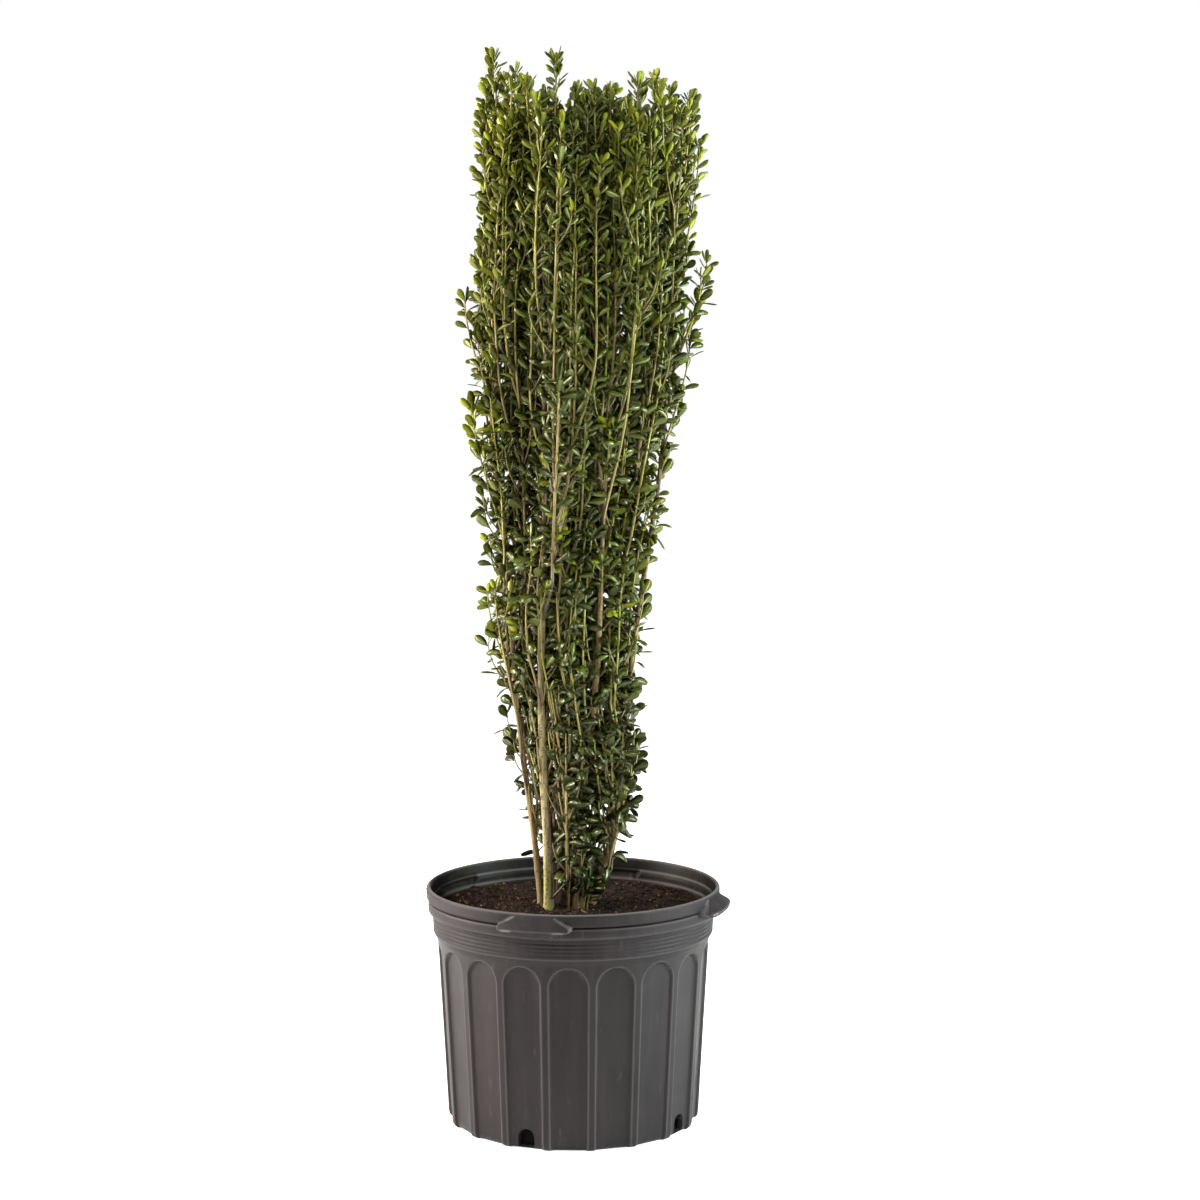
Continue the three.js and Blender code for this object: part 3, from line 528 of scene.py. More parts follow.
def addChips(number, amount, colour, size):
    # each bit is a squashed eight-sided stone, turned about two axes: six points at chance distances
    away = soil["sprinkle"] * np.sqrt(rng.random(amount))
    turn = rng.random(amount) * 2 * np.pi
    x = away * np.cos(turn)
    y = away * np.sin(turn)
    centre = gather(x, y, soilHeight(x, y) + 0.25 * size)
    length = size * rng.lognormal(0.0, 0.42, amount)
    reach = rng.uniform(0.6, 1.3, (amount, 6, 1)) * length[:, None, None]
    spin = rng.random(amount) * 2 * np.pi
    tilt = rng.normal(0, 0.45, amount)
    first = gather(np.cos(spin) * np.cos(tilt), np.sin(spin) * np.cos(tilt), np.sin(tilt))
    second = unit(np.cross(upward, first))
    third = np.cross(first, second)
    long = 1.55 * first
    wide = 0.8 * second
    thick = 0.5 * third
    axes = np.stack([long, wide, -long, -wide, thick, -thick], 1)
    points = (centre[:, None] + reach * axes).reshape(-1, 3)
    ring = np.arange(4)
    after = (ring + 1) % 4
    stone = np.concatenate([gather(ring, after, 4), gather(after, ring, 5)])
    faces = copies(stone, amount, 6)
    look = chipLook(number, colour)
    addPiece(f"soil_bits_{number + 1}", points, [faces], [look], crease=20)


def soilLook():
    board = Board("potting_mix")
    place = board.place()
    crumbs = board.grain(place, 260, 4)
    fibre = board.drawn((420, 130, 300), 3).between(0.55, 0.72)
    speck = board.cells(place, 330).between(0.32, 0.16)
    base = board.mix(crumbs.between(0.3, 0.7), tone(18, 12, 9), tone(44, 31, 22))
    base = board.mix(fibre * 0.5, base, tone(70, 46, 30))
    base = board.mix(speck * 0.2, base, tone(100, 76, 50))
    return board.finish({
        "Base Color": base,
        "Roughness": 0.95,
        "Normal": board.relief(crumbs + 0.5 * fibre, 0.0016),
        "Specular IOR Level": 0.12,
    })


def chipLook(number, colour):
    board = Board(f"bark_bits_{number + 1}")
    place = board.place()
    mottle = board.grain(place, 380, 3)
    lines = board.drawn((900, 900, 200), 2)
    darker = tone(*(int(value * 0.6) for value in colour))
    return board.finish({
        "Base Color": board.mix(mottle.between(0.3, 0.7), darker, tone(*colour)),
        "Roughness": 0.8 + 0.15 * mottle,
        "Normal": board.relief(lines, 0.0006),
        "Specular IOR Level": 0.15,
    })


# Stems: plan places at soil and tip, heights as the solids have them; the dark ones behind are stouter
stemRule = {
    "foot": 0.2623, "buried": 0.006, "lean": 1.3, "wobble": 0.0022, "phase": 2.1, "twist": 9.0,
    "tipRadius": 0.0019, "flare": 0.0016, "flareHeight": 0.014, "rows": 200, "sides": 20,
}
stemKeys = ("base", "tip", "rise", "radius", "top")  # top: x and height of the mass on its tip
stemRows = {
    "front": ((-0.029, -0.020), (-0.032, -0.058), 0.915, 0.0054, (-0.018, 1.279)),
    "front_right": ((0.006, -0.016), (0.044, -0.058), 0.905, 0.0044, (0.044, 1.240)),
    "right": ((0.020, 0.002), (0.112, -0.006), 0.895, 0.0056, (0.138, 1.237)),
    "rear_right": ((0.014, 0.019), (0.082, 0.058), 0.890, 0.0042, (0.098, 1.265)),
    "rear": ((-0.003, 0.025), (0.014, 0.084), 0.900, 0.0064, (0.028, 1.242)),
    "rear_left": ((-0.022, 0.014), (-0.052, 0.058), 0.890, 0.0068, (-0.054, 1.252)),
    "left": ((-0.038, 0.000), (-0.094, -0.010), 0.885, 0.0039, (-0.092, 1.283)),
    "centre": ((-0.013, 0.003), (0.006, 0.008), 0.930, 0.0080, (0.004, 1.246)),
}
stems = {name: dict(zip(stemKeys, row)) for name, row in stemRows.items()}
stemNames = list(stems)
stemBow = {"right": (0.013, 0.21), "front": (-0.005, 0.60)}  # sideways by sin(pi * climb / span)
stemBarks = {"front": "pale", "left": "tan", "right": "tan", "front_right": "tan"}
bareStems = {"front": 0.64, "left": 0.52}  # seen from the front up to this height
leafFrom = {"front": 0.43, "left": 0.37, "right": 0.31, "front_right": 0.31}


def stemShare(name, height):  # 0 at a stem's foot, 1 at its tip
    return (height - stemRule["foot"]) / (stems[name]["rise"] - stemRule["foot"])


def stemRadius(name, height):
    return blend(stems[name]["radius"], stemRule["tipRadius"], np.clip(stemShare(name, height), 0, 1))


def stemPoint(name, height):
    # from base to tip by 1 - (1 - share) ** lean, plus a waver that turns as it climbs
    stem = stems[name]
    share = stemShare(name, height)
    lean = 1 - np.clip(1 - share, 0, None) ** stemRule["lean"]
    waver = stemRule["wobble"] * np.sin(np.pi * np.clip(share, 0, 1))
    turn = stemNames.index(name) * stemRule["phase"] + stemRule["twist"] * share
    bow, span = stemBow.get(name, (0, 1))
    bent = bow * np.sin(np.pi * np.clip((height - stemRule["foot"]) / span, 0, 1))
    x = blend(stem["base"][0], stem["tip"][0], lean) + waver * np.cos(turn) + bent
    y = blend(stem["base"][1], stem["tip"][1], lean) + waver * np.sin(turn)
    return gather(x, y, height)


def barkRelief(paths, radii, sides, seed):
    # fine furrows along the limb, corky pores, and a swelling wherever a shoot once sat
    turn = circle(sides)
    steps = np.linalg.norm(np.diff(paths, axis=1, prepend=paths[:, :1]), axis=-1)
    climb = np.cumsum(steps, axis=1)[..., None]
    spot = gather(2.2 * np.cos(turn), 2.2 * np.sin(turn), climb)
    furrow = lumps(spot * (1.6, 1.6, 60), seed) - 0.5
    pore = smoothStep(0.74, 0.90, lumps(spot * (2.4, 2.4, 330), seed + 1))
    knuckle = smoothStep(0.80, 1.0, lumps(spot * (0, 0, 42), seed + 2))
    return radii[..., None] * (0.09 * furrow + 0.10 * pore + 0.16 * knuckle)


def addStems():
    foot = stemRule["foot"]
    for number, name in enumerate(stemNames):
        height = np.linspace(foot - stemRule["buried"], stems[name]["rise"], stemRule["rows"])
        path = stemPoint(name, np.maximum(height, foot))
        path[:, 2] = height
        flare = stemRule["flare"] * np.exp(-np.clip(height - foot, 0, None) / stemRule["flareHeight"])
        radius = stemRadius(name, height) + flare
        relief = barkRelief(path[None], radius[None], stemRule["sides"], 11 + number)
        points, faces = tubes(path[None], radius[None], stemRule["sides"], relief)[:2]
        look = barks[stemBarks.get(name, "shade")]
        addPiece(f"stem_{name}_bark", points, faces, [look], (f"stem_{name}",))


def barkLook(name, pale, dark, mossy, shadedFrom=0.47):  # thin bark: streaks, corky pores, a green tinge low down, and painted shade higher up, inside the crown
    board = Board(name)
    place = board.place()
    streak = board.drawn((260, 260, 24), 4).between(0.3, 0.7)
    blotch = board.grain(place, 46, 3).between(0.42, 0.66)
    pore = board.cells(board.place((210, 210, 280)), 1.0).between(0.40, 0.22)
    height = board.height(place)
    low = height.between(0.36, 0.26)
    base = board.mix(streak, pale, dark)
    base = board.mix(blotch * 0.4, base, tone(110, 96, 66))
    base = board.mix(low * (0.5 + 0.5 * blotch), base, mossy)
    # painted shade: darker higher up, where the crown covers the stem
    base = board.mix(height.between(shadedFrom, shadedFrom + 0.11) * 0.75, base, tone(70, 56, 36))
    base = board.mix(pore * 0.62, base, tone(76, 56, 36))
    return board.finish({
        "Base Color": base,
        "Roughness": 0.62 + 0.2 * streak,
        "Normal": board.relief(streak + 0.8 * pore, 0.0005),
    })


# Crown: an ellipse at each height, as wide as the photograph's outline there
crown = {
    "heights": (0.262, 0.328, 0.389, 0.450, 0.510, 0.571, 0.631, 0.691, 0.750, 0.810, 0.869, 0.928,
                0.987, 1.045, 1.103, 1.161, 1.219, 1.265),
    "left": (-0.044, -0.052, -0.061, -0.077, -0.086, -0.104, -0.106, -0.104, -0.110, -0.119, -0.124, -0.125,
             -0.127, -0.123, -0.120, -0.116, -0.109, -0.099),
    "right": (0.050, 0.062, 0.077, 0.088, 0.078, 0.082, 0.087, 0.098, 0.113, 0.127, 0.139, 0.146,
              0.151, 0.150, 0.147, 0.152, 0.146, 0.118),
    "depth": 0.9, "leafReach": 0.013,
}


def crownEdges(height):
    return [np.interp(height, crown["heights"], crown[edge]) for edge in ("left", "right")]


def crownHalf(height):
    left, right = crownEdges(height)
    return (right - left) / 2


def crownAxis(height):
    left, right = crownEdges(height)
    return (right + left) / 2


def lanePoint(lane, height):  # a lane keeps its share of the crown's width and depth as it climbs
    half = crownHalf(height) - crown["leafReach"]
    x = crownAxis(height) + lane[..., 0] * half
    return gather(x, lane[..., 1] * half * crown["depth"])


def crownRadius(points):  # 1 on the crown's outline, less inside
    half = crownHalf(points[..., 2])
    across = (points[..., 0] - crownAxis(points[..., 2])) / half
    return np.hypot(across, points[..., 1] / (half * crown["depth"]))


# Boughs: from a stem out to the place where each mass of leaves begins
tiers = {
    "low": {"drop": 0.030, "rise": 0.108, "girth": 0.62},
    "middle": {"drop": 0.050, "rise": 0.200, "girth": 0.85},
    "upper": {"drop": 0.050, "rise": 0.236, "girth": 0.85},
}
boughRule = {
    "radius": 0.0026, "tipRadius": 0.0019, "rows": 30, "sides": 12, "tipLean": 1.04, "topSpread": 1.08,
}


def boughTips(tier):  # where each bough of a tier ends, from the solids: the middle of its topmost ring
    found = {}
    for name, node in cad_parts.items():
        if name.startswith(f"bough_{tier}_"):
            spots = np.empty(len(node.data.vertices) * 3)
            node.data.vertices.foreach_get("co", spots)
            spots = spots.reshape(-1, 3)
            ring = spots[spots[:, 2] > spots[:, 2].max() - 0.0008]
            found[name[len(f"bough_{tier}_"):]] = (ring.min(0) + ring.max(0)) / 2
    return found


def bezier(controls, rows):  # three or four control points for each path, blended by Bernstein weights
    share = np.linspace(0, 1, rows)
    degree = controls.shape[1] - 1
    weights = [math.comb(degree, k) * share ** k * (1 - share) ** (degree - k) for k in range(degree + 1)]
    return np.einsum("kr,nkc->nrc", np.array(weights), controls)


def addBoughs(tier):
    tips = boughTips(tier)
    ends = np.array(list(tips.values()))
    feet = np.array([stemPoint(name, np.array(end[2] - tiers[tier]["drop"])) for name, end in tips.items()])
    bends = np.concatenate([blend(feet[:, :2], ends[:, :2], 0.6), (feet[:, 2:] + ends[:, 2:]) / 2], axis=1)
    paths = bezier(np.stack([feet, bends, ends], 1), boughRule["rows"])
    radii = tiers[tier]["girth"] * taper(paths, (boughRule["radius"], boughRule["tipRadius"]))
    relief = barkRelief(paths, radii, boughRule["sides"], 40 + len(tips))
    points, faces = tubes(paths, radii, boughRule["sides"], relief)[:2]
    nodes = tuple(f"bough_{tier}_{name}" for name in tips)
    addPiece(f"boughs_{tier}", points, faces, [boughBark], nodes)
    return ends


# Shoots: the main twig that carries on from each limb, long upright side shoots, and short spurs
shootRule = {
    "mainRows": 34, "sideRows": 26, "spurRows": 8,
    "sideShoots": 250, "sideLength": (0.17, 0.46), "sideInner": 0.12, "sideOuter": 0.97,
    "settle": 4.2, "leastSettle": 0.09, "waver": 0.0016,
    "spurs": 1500, "spurLength": (0.012, 0.072), "spurLean": 0.46,
    "mainRadius": (0.0019, 0.0010), "sideRadius": (0.0016, 0.0008), "spurRadius": (0.0010, 0.0006),
    "topCap": 1.203, "topFall": 0.018, "highShare": 0.48, "highTips": (1.176, 0.030),
    "lowTips": (0.46, 0.68), "lowestStart": 0.315, "leastLength": 0.09, "farthestLimb": 0.075,
    "spurShares": (0.08, 0.82), "spurOuter": 0.98, "spurTop": 1.222, "spurFoot": 0.30, "spurRise": 0.88,
}
# tips that stand out in the photograph, and the height at which each leaves its limb, in millimetres
plainShoots = (
    (-66, -30, 1246, 950), (76, -45, 1236, 930), (114, -20, 1226, 920), (148, -10, 1168, 900),
    (-104, -20, 1204, 900), (-40, -70, 1210, 950), (26, -72, 1214, 950), (60, 50, 1202, 950),
    (-34, 60, 1204, 950), (120, 40, 1205, 950), (-80, 40, 1210, 950), (128, -40, 1196, 940),
    (157, -30, 1030, 880), (-126, -20, 985, 820), (-117, -32, 862, 660), (138, -15, 940, 760),
    (-100, -35, 640, 500), (83, -30, 640, 490), (78, -10, 458, 340), (70, -30, 440, 335),
    (74, 15, 470, 340), (55, -30, 440, 330), (46, -46, 465, 345), (62, -22, 400, 320),
    (26, -52, 470, 315), (-8, -50, 478, 335), (150, -35, 1010, 860), (16, -60, 1212, 1000),
    (36, -40, 1210, 1000), (90, -30, 1198, 1000), (104, -55, 1208, 1000), (-79, -20, 1238, 1020),
    (-52, -55, 1232, 1000), (-98, 10, 1214, 1000), (130, 0, 1198, 1000), (56, -66, 1196, 1000),
    (12, -20, 1208, 1020), (64, 10, 1206, 1020), (-38, 0, 1212, 1020), (-28, -30, 1214, 1000),
    (-70, -45, 1228, 1020), (-88, -30, 1232, 1020), (-58, 20, 1236, 1030), (25, -30, 1228, 1030),
    (3, -45, 1224, 1030), (48, -20, 1222, 1030), (102, -35, 1226, 1030), (116, -45, 1206, 1000),
    (136, -30, 1206, 1020), (-30, -50, 1218, 1030), (-52, 30, 1232, 1030), (80, 20, 1236, 1030),
    (14, 30, 1210, 1000), (34, -55, 1212, 1000), (-100, -30, 1222, 1000), (64, -40, 1210, 1000),
)
sprouts = {"count": 22, "x": (-0.016, 0.020), "y": (-0.030, 0.026), "height": (0.024, 0.120), "lean": 0.20}


def plainPaths(carriers):
    wanted = np.array(plainShoots) / 1000
    places = placesAt(carriers, wanted[:, 3])
    nearest = np.linalg.norm(places - wanted[:, None, :2], axis=-1).argmin(1)
    feet = np.take_along_axis(places, nearest[:, None, None], axis=1)[:, 0]
    starts = np.concatenate([feet, wanted[:, 3:]], 1)
    return resample(mainTwigs(starts, wanted[:, :3]), shootRule["sideRows"])


def footSprouts(seed):  # young shoots from the foot of the stems, leaning to the front and to the right
    draw = np.random.default_rng(seed)
    count = sprouts["count"]
    x = draw.uniform(*sprouts["x"], count)
    y = draw.uniform(*sprouts["y"], count)
    start = gather(x, y, soil["level"] - 0.003)
    turn = draw.uniform(-0.4, 1.9, count)
    outward = gather(np.sin(turn), -np.cos(turn), 0)
    height = draw.uniform(*sprouts["height"], count)[:, None, None]
    step = np.linspace(0, 1, shootRule["spurRows"])[None, :, None]
    lean = outward[:, None] * height * sprouts["lean"] * step ** 1.5
    return start[:, None] + lean + upward * height * step


def mainTwigs(starts, tips):  # both ends upright, as the solids' main twigs are
    reach = np.linalg.norm(tips - starts, axis=1, keepdims=True) * 0.3
    controls = np.stack([starts, starts + upward * reach, tips - upward * reach, tips], 1)
    return bezier(controls, shootRule["mainRows"])


def tierTwigs(starts, rise):  # up and outwards, as the crown widens
    height = starts[:, 2]
    half = crownHalf(height + rise) / crownHalf(height) * boughRule["tipLean"]
    axis = crownAxis(height)
    x = crownAxis(height + rise) + (starts[:, 0] - axis) * half
    return mainTwigs(starts, gather(x, starts[:, 1] * half, height + rise))


def topTwigs():
    starts = np.array([stemPoint(name, np.array(stem["rise"] - 0.004)) for name, stem in stems.items()])
    spread = boughRule["topSpread"]
    tips = [(stem["top"][0], stem["tip"][1] * spread, stem["top"][1] - 0.020) for stem in stems.values()]
    return mainTwigs(starts, np.array(tips))


def placesAt(paths, heights):  # plan places of climbing paths at each height, far away where a path isn't
    found = []
    for path in paths:
        plan = [np.interp(heights, path[:, 2], path[:, axis], left=9, right=9) for axis in (0, 1)]
        found.append(gather(*plan))
    return np.stack(found, 1)


def sideShoots(carriers):
    # each shoot leaves the nearest limb and settles into a lane of its own, then climbs along it:
    # place = start + (lane - start) * (1 - (1 - climb / settle) ** 2) + waver
    count = shootRule["sideShoots"]
    turn = (np.arange(count) + rng.random(count)) * goldenTurn
    inner = shootRule["sideInner"] ** 2
    away = np.sqrt(blend(inner, shootRule["sideOuter"] ** 2, rng.random(count) ** 0.9))
    lane = gather(away * np.cos(turn), away * np.sin(turn))
    high = rng.random(count) < shootRule["highShare"]
    lowest, span = shootRule["lowTips"]
    ends = np.where(high, rng.normal(*shootRule["highTips"], count), lowest + span * rng.random(count))
    length = rng.uniform(*shootRule["sideLength"], count)
    starts = np.maximum(ends - length, shootRule["lowestStart"] + 0.05 * rng.random(count))
    cap = shootRule["topCap"] - shootRule["topFall"] * away ** 4 + rng.normal(0, 0.006, count)
    ends = np.minimum(ends, cap)
    keep = ends - starts > shootRule["leastLength"]
    lane, starts, ends = lane[keep], starts[keep], ends[keep]
    places = placesAt(carriers, starts)
    gap = np.linalg.norm(places - lanePoint(lane, starts + 0.05)[:, None], axis=-1)
    nearest = np.take_along_axis(places, gap.argmin(1)[:, None, None], axis=1)[:, 0]
    gap = gap.min(1)
    near = gap < shootRule["farthestLimb"]
    lane, starts, ends, nearest, gap = lane[near], starts[near], ends[near], nearest[near], gap[near]
    share = np.linspace(0, 1, shootRule["sideRows"])
    height = blend(starts[:, None], ends[:, None], share)
    settle = np.maximum(gap * shootRule["settle"], shootRule["leastSettle"])[:, None]
    climb = np.clip((height - starts[:, None]) / settle, 0, 1)
    into = (1 - (1 - climb) ** 2)[..., None]
    target = lanePoint(lane[:, None], height)
    phase = rng.random((len(starts), 2, 1)) * 2 * np.pi
    swing = rng.uniform(0.6, 1.9, (len(starts), 2, 1))
    waver = shootRule["waver"] * np.sin(phase + swing * 2 * np.pi * share).transpose(0, 2, 1)
    plan = nearest[:, None] + (target + waver - nearest[:, None]) * into
    return np.concatenate([plan, height[..., None]], -1)


def spurs(paths, count, seed):
    # a spur leaves its shoot at a slant and turns up:
    # start + outward * lean * (1 - (1 - step) ** 2) + up * step
    draw = np.random.default_rng(seed)
    owner = draw.integers(0, len(paths), count)
    share = draw.uniform(*shootRule["spurShares"], count)
    start = alongPath(paths, owner, share)[0]
    turn = draw.random(count) * 2 * np.pi
    outward = gather(np.cos(turn), np.sin(turn), 0)
    length = draw.uniform(*shootRule["spurLength"], count)[:, None, None]
    step = np.linspace(0, 1, shootRule["spurRows"])[None, :, None]
    out = outward[:, None] * length * shootRule["spurLean"] * (1 - (1 - step) ** 2)
    path = start[:, None] + out + upward * length * shootRule["spurRise"] * step
    inside = crownRadius(path[:, -1]) < shootRule["spurOuter"]
    inside &= (path[:, -1, 2] < shootRule["spurTop"]) & (path[:, 0, 2] > shootRule["spurFoot"])
    return path[inside]


def alongPath(paths, owner, share):  # places and directions on paths, between their rows
    spot = np.clip(share, 0, 0.99999) * (paths.shape[1] - 1)
    row = spot.astype(int)
    part = (spot - row)[:, None]
    here = paths[owner, row]
    there = paths[owner, row + 1]
    return blend(here, there, part), unit(there - here)


# Leaves: blunt and widest beyond the middle, folded a little along the rib and curved back
leafRule = {
    "stations": (0.0, 0.14, 0.38, 0.64, 0.85, 0.96, 1.0),
    "halfWidths": (0.0, 0.23, 0.74, 1.00, 0.87, 0.50, 0.0),
    "length": 0.0210, "thick": 0.0005, "fold": 0.30,
    "spacing": 0.0067, "sink": 0.0008, "crowding": 1.75, "turnToLight": 0.80, "mostTurn": 1.2,
    "farthest": 1.25, "aboveSoil": 0.006, "stemRoom": 0.0008,
    "mainCrowd": 0.8, "limbSpacing": 0.008, "limbRadii": (0.0040, 0.0019), "limbBare": 0.05,
    # by height: degrees from the shoot, size, width for its length, the tips' youth, share left out
    "leanHeights": (0.3, 0.5, 0.8, 1.1), "leanDegrees": (54, 47, 39, 33),
    "sizeHeights": (0.42, 0.56, 0.90, 1.12), "sizeShares": (1.20, 1.09, 1.04, 0.92),
    "slimHeights": (0.42, 0.70, 1.00), "slimShares": (0.50, 0.47, 0.40),
    "tipHeights": (0.45, 0.62, 1.10), "tipShares": (0.40, 0.90, 1.0),
    "thinHeights": (0.30, 0.36, 0.48, 0.60, 0.70), "thinShares": (0.14, 0.32, 0.52, 0.27, 0.0),
}


def leafPlaces(paths, radii, firstShare, spacing, seed):
    # leaves in a spiral up each shoot; returns what each leaf is: foot, directions, place on its shoot
    draw = np.random.default_rng(seed)
    length = np.linalg.norm(np.diff(paths, axis=1), axis=-1).sum(1)
    number = np.maximum((length * (1 - firstShare) / spacing).astype(int), 3)
    owner = np.repeat(np.arange(len(paths)), number)
    order = np.arange(number.sum()) - np.repeat(np.cumsum(number) - number, number)
    climb = (order + draw.uniform(0.15, 0.85, len(order))) / number[owner]
    share = firstShare + (1 - firstShare) * (1 - (1 - climb) ** leafRule["crowding"])
    foot, along = alongPath(paths, owner, share)
    turn = draw.random(len(paths))[owner] * 2 * np.pi + order * goldenTurn + draw.normal(0, 0.2, len(order))
    flat = gather(np.cos(turn), np.sin(turn), 0)
    outward = unit(flat - along * (flat * along).sum(-1, keepdims=True))
    thick = blend(radii[0], radii[1], share)[:, None]
    return {
        "foot": foot + outward * (thick - leafRule["sink"]), "along": along, "outward": outward,
        "share": share, "spray": draw.normal(0, 1, len(paths))[owner], "left": number[owner] - order,
    }


def joinLeaves(groups):
    return {key: np.concatenate([group[key] for group in groups]) for key in groups[0]}


def lightRoll(leaves):
    # the turn about its rib that brings a leaf's upper side round to the light,
    # which is out and up from the axis
    foot = leaves["foot"]
    out = gather(foot[:, 0] - crownAxis(foot[:, 2]), foot[:, 1], 0)
    light = unit(0.8 * unit(out) + 0.6 * upward)
    bent = (leaves["lean"] + leaves["curve"] / 2)[:, None]
    above = np.sin(bent) * leaves["along"] - np.cos(bent) * leaves["outward"]
    side = np.cross(leaves["along"], leaves["outward"])
    turn = np.arctan2(-(light * side).sum(-1), (light * above).sum(-1))
    return np.clip(turn, -leafRule["mostTurn"], leafRule["mostTurn"]) * leafRule["turnToLight"]


# new shoots, seen in the photograph at these places: x, height and reach
limeSprays = ((-0.114, 0.83, 0.030), (-0.074, 0.625, 0.014), (0.060, 0.620, 0.012), (0.003, 0.298, 0.007))


def shapeLeaves(leaves, seed):
    # angle from the shoot, backward curve, size and youth of every leaf, plus painted light on the crown's
    # outer shell, from its height and its place on the shoot
    draw = np.random.default_rng(seed)
    count = len(leaves["share"])
    height = leaves["foot"][:, 2]
    high = smoothStep(0.66, 1.10, height)
    tip = np.clip(1 - (leaves["left"] - 1) / 5, 0, 1)
    lean = np.interp(height, leafRule["leanHeights"], leafRule["leanDegrees"]) - 15 * tip
    leaves["lean"] = np.radians(lean + draw.normal(0, 1, count) * blend(21, 14, high))
    leaves["curve"] = blend(0.95, 0.40, high) * (1 - 0.5 * tip) * draw.uniform(0.1, 2.1, count)
    leaves["roll"] = lightRoll(leaves) + draw.normal(0, 0.24, count)
    size = leafRule["length"] * draw.uniform(0.78, 1.18, count)
    grown = np.interp(height, leafRule["sizeHeights"], leafRule["sizeShares"])
    leaves["size"] = size * grown * (1 - 0.14 * tip ** 3)
    slim = np.interp(height, leafRule["slimHeights"], leafRule["slimShares"])
    leaves["slim"] = slim * draw.uniform(0.86, 1.14, count)
    # painted light: leaves on the crown's outer shell are dealt lighter tints
    outer = smoothStep(0.50, 1.0, crownRadius(leaves["foot"])) * smoothStep(0.45, 0.62, height)
    youth = 0.10 - 0.42 * smoothStep(0.62, 0.42, height) + 0.28 * smoothStep(0.90, 1.24, height)
    youth = youth + 0.22 * outer
    youth = youth + 0.36 * tip ** 2 * np.interp(height, leafRule["tipHeights"], leafRule["tipShares"])
    for x, z, reach in limeSprays:
        near = np.hypot(leaves["foot"][:, 0] - x, height - z) < reach
        youth = youth + 0.6 * (near & (leaves["foot"][:, 1] < -0.004))
    leaves["youth"] = youth + blend(0.19, 0.12, high) * leaves["spray"] + draw.normal(0, 0.07, count)
    return leaves


def leafSheet(leaves, stations):
    # the rib's direction turns from the shoot by lean + curve * share, so its place is the sum
    # of the cosines along the shoot and of the sines outwards
    # returns rib places, sideways and upper directions
    lean = leaves["lean"][:, None]
    curve = np.maximum(leaves["curve"], 0.02)[:, None]
    bent = lean + curve * stations
    size = leaves["size"][:, None]
    upPart = size * (np.sin(bent) - np.sin(lean)) / curve
    outPart = size * (np.cos(lean) - np.cos(bent)) / curve
    along = leaves["along"][:, None]
    outward = leaves["outward"][:, None]
    rib = leaves["foot"][:, None] + upPart[..., None] * along + outPart[..., None] * outward
    above = np.sin(bent)[..., None] * along - np.cos(bent)[..., None] * outward
    side = np.cross(along, outward)
    roll = leaves["roll"][:, None, None] * np.minimum(stations / 0.2, 1)[None, :, None]
    return rib, np.cos(roll) * side + np.sin(roll) * above, np.cos(roll) * above - np.sin(roll) * side


def leavesMesh(leaves):
    # points of a leaf: foot and tip, and at each station between them both edges and the rib's two sides
    stations = np.array(leafRule["stations"])
    rib, side, above = leafSheet(leaves, stations)
    widths = np.array(leafRule["halfWidths"])[None, :, None]
    half = (leaves["size"] * leaves["slim"] / 2)[:, None, None] * widths
    drop = above * half * leafRule["fold"]
    inner = slice(1, -1)
    left = (rib - side * half - drop)[:, inner]
    right = (rib + side * half - drop)[:, inner]
    under = (rib - above * leafRule["thick"])[:, inner]
    block = np.concatenate([rib[:, :1], rib[:, -1:], left, rib[:, inner], right, under], axis=1)
    count = len(stations) - 2
    rows = ("left", "rib", "right", "under")
    index = {name: 2 + place * count + np.arange(count) for place, name in enumerate(rows)}
    faces = [copies(part, len(rib), block.shape[1]) for part in leafFaces(index)]
    return block.reshape(-1, 3), faces, mapCopies(leafSpots(stations[inner]), len(rib))


# the strips round a leaf and their edges across its map: the upper side lies round a quarter of the width,
# the under side round three quarters
leafStrips = {
    ("left", "rib"): (0.05, 0.25), ("rib", "right"): (0.25, 0.45),
    ("right", "under"): (0.95, 0.75), ("under", "left"): (0.75, 0.55),
}


def leafFaces(index):
    strips = []
    ends = []
    for first, second in leafStrips:
        a, b = index[first], index[second]
        strips.append(gather(a[:-1], b[:-1], b[1:], a[1:]))
        ends.append([0, b[0], a[0]])
        ends.append([a[-1], b[-1], 1])
    return np.concatenate(strips), np.array(ends)


def leafSpots(levels):
    strips = []
    ends = []
    low, high = levels[:-1], levels[1:]
    for first, second in leafStrips.values():
        middle = (first + second) / 2
        strips.append(gather(first, low, second, low, second, high, first, high))
        ends.append([middle, 0, second, levels[0], first, levels[0]])
        ends.append([first, levels[-1], second, levels[-1], middle, 1])
    return np.concatenate(strips), np.array(ends)


# leaves are dealt tints by youth plus painted light, so the crown's outer shell takes lighter ones
tints = {  # from the oldest leaves to the youngest: share of all leaves, upper side, under side, gloss
    "shade": (0.09, (29, 33, 7), (52, 56, 21), 0.48),
    "deep": (0.10, (36, 43, 8), (61, 68, 25), 0.52),
    "dark": (0.13, (45, 53, 8), (70, 77, 26), 0.62),
    "green": (0.16, (52, 59, 6), (76, 83, 24), 0.66),
    "leafy": (0.15, (58, 65, 6), (80, 87, 24), 0.66),
    "fresh": (0.13, (61, 67, 4), (81, 87, 21), 0.60),
    "light": (0.12, (69, 72, 3), (86, 89, 20), 0.48),
    "lime": (0.08, (84, 88, 3), (99, 102, 19), 0.38),
    "young": (0.04, (116, 122, 16), (121, 126, 33), 0.30),
}


